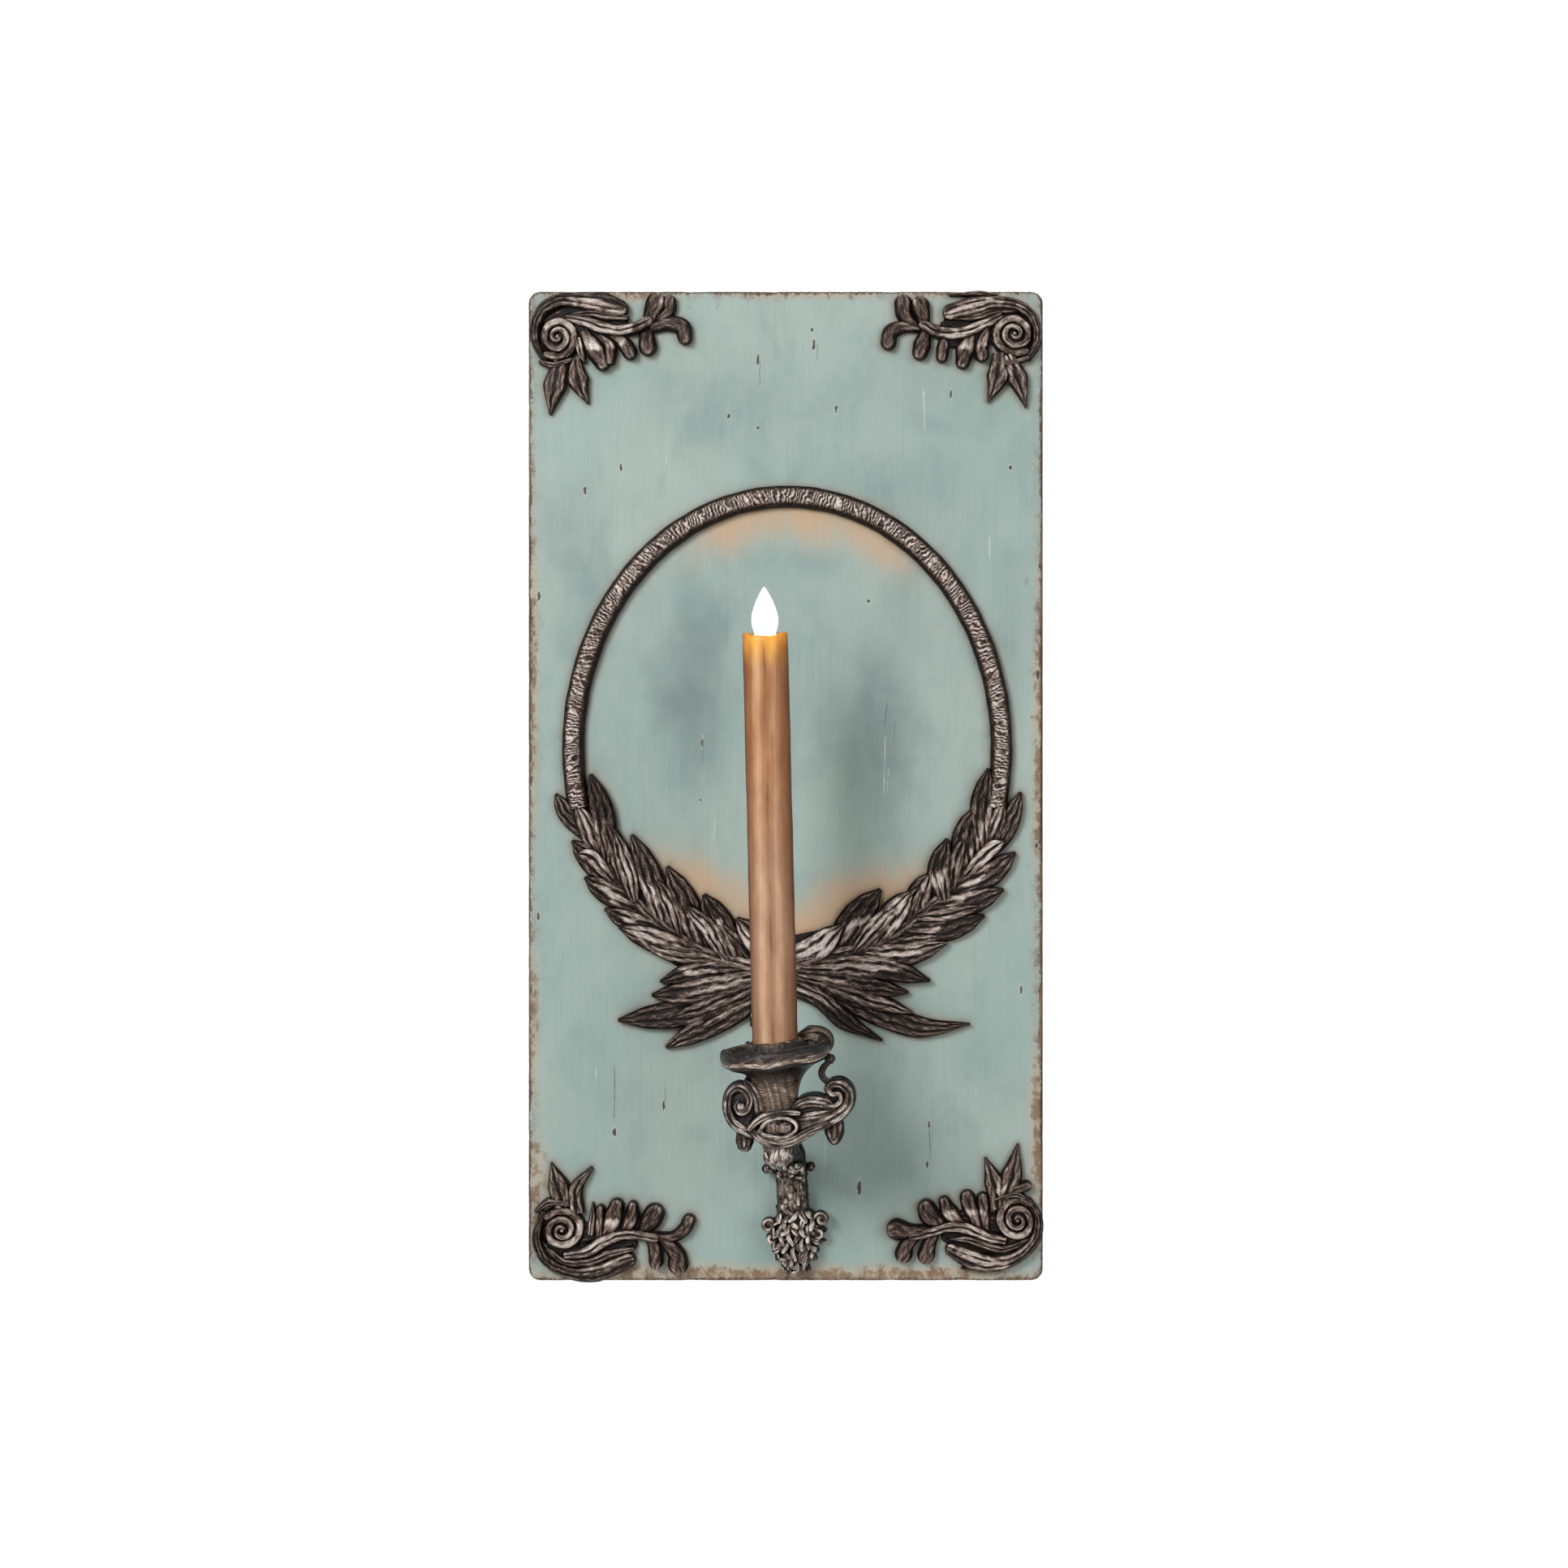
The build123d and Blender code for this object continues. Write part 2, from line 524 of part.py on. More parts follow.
def led_holder():
    """The ring that holds the board below the flame's flange."""
    top = CANDLE_TOP_S - CANDLE_LID - 1.8
    board_top = LED_BOARD_S + LED_BOARD_T
    return turned([
        (8.5, LED_BOARD_S - 1.6),
        (9.6, LED_BOARD_S - 1.6),
        (9.6, top),
        (8.2, top),
        (8.2, board_top),
        (9.05, board_top),
        (9.05, LED_BOARD_S),
        (8.5, LED_BOARD_S),
    ])


def battery_tube():
    """The tube around the cells: its flange fills the sleeve's foot, and two bayonet lugs stand on its neck."""
    cells_top = BATTERY_LOW_S + 2 * (BATTERY_BODY + BATTERY_NUB)
    lid = cells_top + CONTACT_T
    tube = turned([
        (TUBE_BORE_R, CAP_FLOOR_S + 0.3),
        (TUBE_NECK_R, CAP_FLOOR_S + 0.3),
        (TUBE_NECK_R, CAP_TOP_S + 0.1),
        (SPIGOT_R, CAP_TOP_S + 0.1),
        (SPIGOT_R, SEAT_S),
        (9.6, SEAT_S),
        (9.6, SEAT_S + 3),
        (TUBE_R, SEAT_S + 3),
        (TUBE_R, lid + 1.6),
        (0, lid + 1.6),
        (0, lid),
        (TUBE_BORE_R, lid),
    ])
    lug_ring = turned([(5.9, LUG_LOW_S), (LUG_R, LUG_LOW_S), (LUG_R, LUG_HIGH_S), (5.9, LUG_HIGH_S)])
    tube += lug_ring & Pos(0, -AXIS_D, LUG_LOW_S) * Box(20, 2.2, 10)
    for x in (-3, 3):
        tube -= upright(0.65, lid - 1, lid + 5, x)
    return tube


def batteries():
    """Two AAA cells, end to end."""
    cells = []
    for i in range(2):
        low = BATTERY_LOW_S + i * (BATTERY_BODY + BATTERY_NUB)
        high = low + BATTERY_BODY
        cells.append(upright(BATTERY_R, low, high) + upright(1.9, high - 1, high + BATTERY_NUB))
    return Compound(cells)


def contact_plate():
    """The disc that touches the upper cell."""
    low = BATTERY_LOW_S + 2 * (BATTERY_BODY + BATTERY_NUB)
    return upright(5.5, low, low + CONTACT_T)


def lead_wires():
    """Two wires from the contact plate up to the LED's board."""
    low = BATTERY_LOW_S + 2 * (BATTERY_BODY + BATTERY_NUB) + CONTACT_T
    return Compound([upright(0.6, low, LED_BOARD_S, x) for x in (-3, 3)])


def base_cap():
    """The bayonet cap that closes the battery tube and stands in the cup's neck."""
    groove = LUG_R + LUG_GAP
    cap = turned([
        (0, CAP_BOTTOM_S),
        (SPIGOT_R, CAP_BOTTOM_S),
        (SPIGOT_R, CAP_TOP_S),
        (CAP_BORE_R, CAP_TOP_S),
        (CAP_BORE_R, LUG_HIGH_S + LUG_GAP),
        (groove, LUG_HIGH_S + LUG_GAP),
        (groove, LUG_LOW_S - LUG_GAP),
        (CAP_BORE_R, LUG_LOW_S - LUG_GAP),
        (CAP_BORE_R, CAP_FLOOR_S),
        (0, CAP_FLOOR_S),
    ])
    entry = Box(2 * groove, 2.6, 10) - Cylinder(TUBE_BORE_R, 20)
    cap -= Pos(0, -AXIS_D, LUG_LOW_S + 5) * Rot(0, 0, -CAP_TWIST) * entry
    return cap - Pos(0, -AXIS_D, CAP_BOTTOM_S) * Box(5.3, 2.1, 10)


def contact_spring():
    """The coil spring that presses the lower cell, on the cap's floor."""
    radius = 4.35
    wire = 0.38
    coil = Helix(pitch=1.0, height=2.0, radius=radius)
    section = Plane(origin=coil @ 0, z_dir=coil % 0) * Circle(wire)
    spring = sweep(section, path=coil, is_frenet=True)
    return Pos(0, -AXIS_D, CAP_FLOOR_S + wire + 0.02) * spring


def power_switch():
    """The slide switch, sunk in the cap's floor."""
    knob = Pos(-1.1, -AXIS_D, 85.35) * Box(3.0, 1.9, 2.3)
    plate = Pos(-1.1, -AXIS_D, CAP_FLOOR_S + 0.3) * Box(4.6, 2.8, 0.5)
    return knob + plate


# ---------------------------------------------------------------- the model
ON_THE_BOARD = {
    "back_board": back_board(),
    "corner_top_left": corner(CORNER_TOP_LEFT),
    "corner_top_right": corner(CORNER_TOP_RIGHT),
    "corner_bottom_left": corner(CORNER_BOTTOM_LEFT),
    "corner_bottom_right": corner(CORNER_BOTTOM_RIGHT),
    "rope_ring": rope_ring(),
    "wreath_left": sprig(SPRIG_LEFT, -BOARD_W / 2, SPRIG_SPLIT_X - SPRIG_SPLIT_GAP),
    "wreath_right": sprig(SPRIG_RIGHT, SPRIG_SPLIT_X + SPRIG_SPLIT_GAP, BOARD_W / 2),
    "hanger_left": hanger(-HANGER_X),
    "hanger_right": hanger(HANGER_X),
    "hanger_screws": hanger_screws(),
}
ON_THE_ARM = {
    "candle_arm": candle_arm(),
    "arm_screws": arm_screws(),
    "scroll_cradle": scroll_cradle(),
    "candle_cup": candle_cup(),
    "cup_screw": cup_screw(),
    "candle_shell": candle_shell(),
    "candle_flame": candle_flame(),
    "flame_led": flame_led(),
    "led_board": led_board(),
    "led_holder": led_holder(),
    "battery_tube": battery_tube(),
    "batteries": batteries(),
    "contact_plate": contact_plate(),
    "lead_wires": lead_wires(),
    "base_cap": base_cap(),
    "contact_spring": contact_spring(),
    "power_switch": power_switch(),
}

os.makedirs("parts", exist_ok=True)
for node, shape in ON_THE_BOARD.items():
    export_step(shape, f"parts/{node}.step")
for node, shape in ON_THE_ARM.items():
    export_step(ARM_PLACE * shape, f"parts/{node}.step")
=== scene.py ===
import json
import math

import bmesh
import bpy
import numpy as np
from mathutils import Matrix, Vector, kdtree

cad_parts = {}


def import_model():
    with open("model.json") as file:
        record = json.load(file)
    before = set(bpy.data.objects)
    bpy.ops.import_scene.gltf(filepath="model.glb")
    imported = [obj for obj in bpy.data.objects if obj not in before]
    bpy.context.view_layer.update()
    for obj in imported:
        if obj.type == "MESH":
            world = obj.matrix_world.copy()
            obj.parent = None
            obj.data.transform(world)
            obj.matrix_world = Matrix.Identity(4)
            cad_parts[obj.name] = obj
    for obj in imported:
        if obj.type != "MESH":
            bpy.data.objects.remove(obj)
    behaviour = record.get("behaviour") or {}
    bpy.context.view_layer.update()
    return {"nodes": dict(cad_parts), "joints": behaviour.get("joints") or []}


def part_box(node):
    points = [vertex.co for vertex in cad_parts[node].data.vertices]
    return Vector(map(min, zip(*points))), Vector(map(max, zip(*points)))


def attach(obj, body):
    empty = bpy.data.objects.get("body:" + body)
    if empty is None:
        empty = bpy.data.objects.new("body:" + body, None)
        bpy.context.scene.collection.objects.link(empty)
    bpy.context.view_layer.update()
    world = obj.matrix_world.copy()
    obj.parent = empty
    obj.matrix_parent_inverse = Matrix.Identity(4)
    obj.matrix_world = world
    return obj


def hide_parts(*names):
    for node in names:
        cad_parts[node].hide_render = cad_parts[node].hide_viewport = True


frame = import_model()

MM = 0.001
GOLDEN_ANGLE = 2.39996
GOLDEN_STEP = 0.618

# The board, from the frame. Its outline and thickness drive the painted front.
BOARD_LOW, BOARD_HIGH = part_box("back_board")
FACE_Y = BOARD_LOW.y
BOARD_W = (BOARD_HIGH.x - BOARD_LOW.x) / MM
BOARD_H = (BOARD_HIGH.z - BOARD_LOW.z) / MM
CORNER_R = 6.0
FRONT_DEPTH = 7.0
EDGE_R = 1.6
# How far inside the outline the paint's wear takes a point to be: on the side walls, and at most.
WALL_REACH, FULL_REACH = 0.6, 40.0

# The oval moulding's middle line.
OVAL_X, OVAL_Z = 1.0, 19.0
OVAL_HALF_W, OVAL_HALF_H = 108.0, 127.0

# The candle, along its own axis, and the arm's bud.
CANDLE_TOP = 303.0
SEAT = 99.0
BUD_X, BUD_D = 3.0, 1.0
BUD_DEEP = 12.6

# The camera stands square to the board, a little to its right.
CAMERA_DISTANCE = 1100.0
CAMERA_X = 69.0
CAMERA_SHIFT = (-0.0881, 0.0013)


# ---------------------------------------------------------------- places
def on_face(x, h, z):
    """A point h mm in front of the board's face."""
    return (x * MM, FACE_Y - h * MM, z * MM)


# The candle's own axis: s runs up it in mm from the arm's foot, x to the right, and d out from the board.
LIFT = next(joint for joint in frame["joints"] if joint["name"] == "candle_lift")
UP = Vector(LIFT["axis"]).normalized()
ASIDE = Vector((UP.z, 0, -UP.x))
AXIS_D = 72.0
SCREW_MIDDLE_S = 68.6
SCREW_LOW, SCREW_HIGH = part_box("cup_screw")
FOOT = (SCREW_LOW + SCREW_HIGH) / 2 - UP * SCREW_MIDDLE_S * MM


def on_arm(x, d, s):
    """A point in the arm's own frame."""
    p = FOOT + ASIDE * (x * MM) + UP * (s * MM)
    return (p.x, FACE_Y - d * MM, p.z)


def out_from(base, way=1):
    """Places strokes off a plane base mm in front of the board, facing out, or back to it if way is -1."""
    def place(x, h, s):
        return on_arm(x, base + way * h, s)
    return place


# ---------------------------------------------------------------- small maths
def wander(t, seed, scale=1.0):
    """A smooth wavering number between about -1 and 1."""
    t = np.asarray(t, dtype=float) * scale
    total = np.zeros_like(t)
    for i, weight in enumerate((0.5, 0.3, 0.2)):
        total = total + weight * np.sin(t * (1.7 ** i) * 2.1 + seed * (3.3 + 1.9 * i) + i)
    return total


def through(points, samples=240):
    """A Catmull-Rom curve through the points, at even steps along its length."""
    p = np.asarray(points, dtype=float)
    p = np.vstack([2 * p[0] - p[1], p, 2 * p[-1] - p[-2]])
    at = np.linspace(0, len(p) - 3, samples)
    i = np.minimum(at.astype(int), len(p) - 4)
    f = (at - i)[:, None]
    a, b, c, d = p[i], p[i + 1], p[i + 2], p[i + 3]
    curve = 0.5 * (2 * b + (c - a) * f + (2 * a - 5 * b + 4 * c - d) * f ** 2
                   + (3 * b - a - 3 * c + d) * f ** 3)
    return curve, at


def even(points, spacing):
    """The curve at even spacing, each station's place along the list of points, and its run in mm."""
    curve, at = through(points)
    hops = np.diff(curve, axis=0)
    steps = np.hypot(*hops.T) if curve.shape[1] == 2 else np.linalg.norm(hops, axis=1)
    run = np.concatenate([[0], np.cumsum(steps)])
    count = max(int(run[-1] / spacing) + 1, 6)
    want = np.linspace(0, run[-1], count)
    place = np.interp(want, run, at)
    line = np.column_stack([np.interp(want, run, curve[:, k]) for k in range(curve.shape[1])])
    return line, place, want


def spread(values, place, last):
    """A list of values, read smoothly at each place along the control points."""
    values = np.atleast_1d(np.asarray(values, dtype=float))
    if len(values) == 1:
        return np.full(len(place), values[0])
    x = np.linspace(0, last, len(values))
    plain = np.interp(place, x, values)
    kernel = np.array([1, 2, 3, 2, 1]) / 9
    padded = np.concatenate([[plain[0]] * 2, plain, [plain[-1]] * 2])
    return np.convolve(padded, kernel, "valid")


def smoothstep(low, high, x):
    """0 below low, 1 above high, and a soft S between them."""
    t = np.clip((x - low) / (high - low), 0, 1)
    return t * t * (3 - 2 * t)


# ---------------------------------------------------------------- carved shells
# A casting's flat back is this far inside the board, in mm, and its paint is this dark there.
SUNK = -0.25
REAR_RELIEF = 0.05


def soften(grid, reach):
    """The grid, blurred over reach cells each way."""
    kernel = np.hanning(2 * reach + 3)
    kernel = kernel / kernel.sum()
    for axis in (0, 1):
        grid = np.apply_along_axis(np.convolve, axis, grid, kernel, "same")
    return grid


def wear_and_shade_relief(points, relief, wear_and_shade, level):
    """Relief made darker where the casting dips below its surroundings and lighter where it stands proud:
    dark patina and painted shade in the hollows, dry-brushed paint and painted highlight on the proud parts.
    """
    x, h, z = points[:, 0] / MM, (FACE_Y - points[:, 1]) / MM, points[:, 2] / MM
    cell, edge, nothing, buried = 0.5, 16, -1000.0, 5.0
    i = ((x - x.min()) / cell).astype(int) + edge
    j = ((z - z.min()) / cell).astype(int) + edge
    top = np.full((i.max() + edge, j.max() + edge), nothing)
    np.maximum.at(top, (i, j), h)
    covered = (top > nothing + 1).astype(float)
    filled = np.where(covered > 0, top, 0.0)
    stand = np.zeros(len(points))
    for reach, weight, most in ((3, 0.36, 1.2), (9, 0.045, 2.4)):
        around = soften(filled, reach) / np.maximum(soften(covered, reach), 1e-6)
        stand = stand + weight * np.clip(h - around[i, j], -most, most)
    hidden = h < top[i, j] - buried
    return np.clip(level + 0.74 * relief + wear_and_shade * np.where(hidden, 0.0, stand), 0, 1)


class Carving:
    """Closed shells gathered into one mesh, each point with its relief (groove 0, ridge 1) and its flow."""

    def __init__(self):
        self.points = []
        self.faces = []
        self.relief = []
        self.flow = []
        self.count = 0

    def loft(self, rings, relief, flow):
        """Joins rings of points, each a closed loop, and closes both ends."""
        n, m = rings.shape[:2]
        base = self.count
        self.points.append(rings.reshape(-1, 3))
        self.relief.append(relief.reshape(-1))
        self.flow.append(flow.reshape(-1, 3))
        i = np.arange(n - 1)[:, None] * m
        j = np.arange(m)[None, :]
        k = (j + 1) % m
        quads = np.stack([i + j, i + k, i + m + k, i + m + j], axis=-1).reshape(-1, 4) + base
        self.faces.extend(quads.tolist())
        self.faces.append([base + x for x in range(m)])
        self.faces.append([base + (n - 1) * m + x for x in reversed(range(m))])
        self.count += n * m

    def piece(self, name, material, slot, body="plaque", nodes=(), wear_and_shade=1.0, level=-0.17):
        """The finished object: on its body, standing for its CAD nodes. slot is not used."""
        mesh = bpy.data.meshes.new(name)
        points = np.vstack(self.points)
        relief = wear_and_shade_relief(points, np.concatenate(self.relief), wear_and_shade, level)
        mesh.from_pydata(points.tolist(), [], self.faces)
        add_field(mesh, "relief", relief)
        attribute = mesh.attributes.new("flow", "FLOAT_VECTOR", "POINT")
        attribute.data.foreach_set("vector", np.vstack(self.flow).astype(np.float32).reshape(-1))
        return make_object(name, mesh, material, body, nodes)


def add_field(mesh, name, values):
    """Gives each point of a mesh a number, for its material to read."""
    attribute = mesh.attributes.new(name, "FLOAT", "POINT")
    attribute.data.foreach_set("value", np.asarray(values, dtype=np.float32))


def make_object(name, mesh, material, body, nodes=()):
    """Cleans a mesh's normals, and makes, paints and rides its object."""
    bm = bmesh.new()
    bm.from_mesh(mesh)
    bmesh.ops.recalc_face_normals(bm, faces=bm.faces)
    bm.to_mesh(mesh)
    bm.free()
    mesh.polygons.foreach_set("use_smooth", [True] * len(mesh.polygons))
    mesh.materials.append(material)
    piece = bpy.data.objects.new(name, mesh)
    bpy.context.scene.collection.objects.link(piece)
    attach(piece, body)
    if nodes:
        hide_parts(*nodes)
    return piece


def half_section(across):
    """Places across a stroke from -1 to 1, closer together near its edges."""
    return np.sin(np.linspace(-math.pi / 2, math.pi / 2, across))


def sideways(line):
    """The unit direction to the left of each station of a flat line."""
    ahead = np.gradient(line, axis=0)
    ahead = ahead / np.linalg.norm(ahead, axis=1)[:, None]
    return np.column_stack([-ahead[:, 1], ahead[:, 0]])


def offset(line, side, width, u):
    """The x and z of places u, from -1 to 1, across a band of this width along the line."""
    return [line[:, k][:, None] + side[:, k][:, None] * width / 2 * u for k in range(2)]


def placed(where, x, h, z):
    """Every (x, h, z) put in space by where, one row to each station."""
    rings = np.array([where(a, b, c) for a, b, c in zip(np.ravel(x), np.ravel(h), np.ravel(z))])
    return rings.reshape(np.shape(x) + (3,))


def round_end(line, width, place, want, at_end):
    """Adds stations past one end, so that a stroke closes in a half circle."""
    last, before, way = (-1, -2, 1) if at_end else (0, 1, -1)
    away = line[last] - line[before]
    away = away / np.linalg.norm(away)
    reach = width[last] / 2
    turn = np.radians([18, 36, 52, 66, 78, 87])
    more = line[last] + away * (np.sin(turn) * reach)[:, None]
    thin = 2 * reach * np.cos(turn)
    same = np.full(len(turn), place[last])
    run = want[last] + way * np.sin(turn) * reach
    added = (more, thin, same, run)
    joined = zip((line, width, place, want), added)
    return tuple(np.concatenate([old, new] if at_end else [new[::-1], old]) for old, new in joined)


def stroke(carving, points, widths, heights, ridges=2, depth=0.5, lift=0.0, ends="point round", across=15,
           spacing=0.8, seed=0.0, back=None, where=on_face, waver=0.5, shine=1.0):
    """One carved leaf, lobe or band along a centre line in x and z.

    Its front is crowned and has lengthwise ridges. Its back is flat, just inside the board, unless back gives
    the depth of a rounded one. lift raises it off the board. Returns points over its outline.
    """
    last = len(points) - 1
    line, place, want = even(points, spacing)
    width = np.maximum(spread(widths, place, last), 0.3)
    start, stop = ends.split()
    if start == "round":
        line, width, place, want = round_end(line, width, place, want, False)
    if stop == "round":
        line, width, place, want = round_end(line, width, place, want, True)
    side = sideways(line)
    height = spread(heights, place, last)
    raised = spread(lift, place, last)
    full = max(width.max(), 0.1)
    height = height * np.clip(width / full * 2.2, 0.3, 1) ** 0.5
    width = width[:, None]
    run = want[:, None]
    u = half_section(across)[None, :]

    # The grooves between ridges wander, fade here and there, and calm down at a round end.
    bend = waver * 0.24 * wander(want, seed, 0.11)[:, None] * (1 - u ** 2)
    lane = ridges * (u + bend + 1) / 2
    fading = 0.62 + 0.5 * wander(run * 0.16 + 4.0 * np.round(lane), seed + 1.0)
    calm = 1 - 0.75 * smoothstep(want[-1] - 5.0, want[-1], want)[:, None] if stop == "round" else 1.0
    narrow = 8.0
    groove = np.clip(fading, 0.25, 1) * np.abs(np.cos(math.pi * lane)) ** narrow * (np.abs(u) < 0.97) * calm
    fine = np.abs(np.cos(math.pi * (1.9 * lane + 0.5 * wander(want, seed + 3.0, 0.14)[:, None]))) ** narrow
    ridge = 1 - 2.5 * groove - 0.22 * fine
    rough = 0.30 * wander(run * 0.4 + 4 * u, seed + 2.0) + 0.16 * wander(run * 1.5 - 8 * u, seed + 4.0)

    # The side walls rise to a third of the height, and the crown does the rest.
    wall = 0.35
    room = np.clip(width / 5.0, 0.25, 1)
    dome = (1 - np.abs(u) ** 2.6) ** 0.55
    rise = height[:, None] * (wall + (1 - wall) * dome)
    top = raised[:, None] + rise + (depth * ridge + 0.22 * rough) * room * (dome > 0.02)
    # The paint is darker in the grooves and toward the stroke's edges: partly dark patina, partly painted
    # shade where it meets its neighbours and the board.
    relief = np.clip(0.38 + 0.34 * ridge - 0.10 * fine + 0.4 * rough, 0, 1)
    relief = relief * smoothstep(0.0, 0.62, dome) * shine

    x, z = offset(line, side, width, u)
    if back is None:
        rear_u = np.array([[1.0, -1.0]])
        rear_h = np.full((len(line), 2), SUNK)
    else:
        rear_u = half_section(7)[None, ::-1]
        rear_h = raised[:, None] - back * np.clip(width / full, 0.2, 1) * (0.1 + (1 - rear_u ** 2) ** 0.5)
    rear_x, rear_z = offset(line, side, width, rear_u)
    rings = placed(where, np.hstack([x, rear_x]), np.hstack([top, rear_h]), np.hstack([z, rear_z]))
    all_u = np.hstack([u, rear_u]) * width / 2
    flow = np.stack([np.repeat(run, all_u.shape[1], 1), all_u, np.full(all_u.shape, seed * 7.0)], axis=-1)
    carving.loft(rings, np.hstack([relief, np.full(rear_h.shape, REAR_RELIEF)]), flow)
    return np.column_stack([np.hstack([g[:, ::3], g[:, -1:]]).ravel() for g in (x, z)])


def band(carving, where, points, widths, heights, ridges, depth, across, seed, back=None, spacing=0.7,
         shine=1.0):
    """A stroke with two round ends, as the bands on the arm have."""
    stroke(carving, points, widths, heights, ridges, depth, 0.0, "round round", across, spacing, seed, back,
           where, shine=shine)


def blob(carving, centre, radii, where=on_face, seed=0.0, relief=0.5, lumps=0.0, rows=10, cols=18,
         front=False):
    """A lumpy ellipsoid at (x, h, z), or its front half only, closed flat behind."""
    x0, h0, z0 = centre
    rx, rh, rz = radii
    low = 0.02 if front else -math.pi / 2 + 0.02
    lat = np.linspace(low, math.pi / 2 - 0.02, rows)[:, None]
    lon = np.linspace(0, 2 * math.pi, cols, endpoint=False)[None, :]
    grow = 1 + lumps * wander(lat * 4 + 3 * np.cos(lon), seed)
    grow = grow + lumps * 0.6 * wander(5 * np.sin(lon), seed + 3)
    x = x0 + rx * np.cos(lat) * np.cos(lon) * grow
    z = z0 + rz * np.cos(lat) * np.sin(lon) * grow
    h = h0 + rh * np.sin(lat) * grow
    # Lighter on its crown and darker toward its foot: partly dry-brushed paint, partly painted light and
    # shade.
    shade = np.clip(relief + 0.5 * (grow - 1) / max(lumps, 0.01) * 0.4 + 0.35 * np.sin(lat), 0, 1)
    flow = np.stack(np.broadcast_arrays(h, x, np.full_like(x, seed)), axis=-1)
    carving.loft(placed(where, x, h, z), np.broadcast_to(shade, x.shape).copy(), flow)


def spiral(carving, centre, start_r, end_r, start_deg, turns, widths, heights, where=on_face, seed=0.0,
           back=None, depth=0.4, shine=1.0):
    """A volute: a band that winds inwards. Positive turns run anticlockwise as seen from the front."""
    steps = max(int(abs(turns) * 12), 6)
    points = []
    for i in range(steps + 1):
        f = i / steps
        a = math.radians(start_deg) + 2 * math.pi * turns * f
        r = (start_r + (end_r - start_r) * f) * (1 + 0.035 * math.sin(2 * a + centre[0]))
        points.append((centre[0] + r * math.cos(a), centre[1] + r * math.sin(a)))
    stroke(carving, points, widths, heights, 1, depth, 0.0, "round round", 11, 0.7, seed, back, where, 0.3,
           shine)


# ---------------------------------------------------------------- materials
def srgb(r, g, b):
    """A colour given from 0 to 255, as Blender's linear numbers."""
    linear = [((c / 255 + 0.055) / 1.055) ** 2.4 if c > 10 else c / 255 / 12.92 for c in (r, g, b)]
    return (*linear, 1.0)


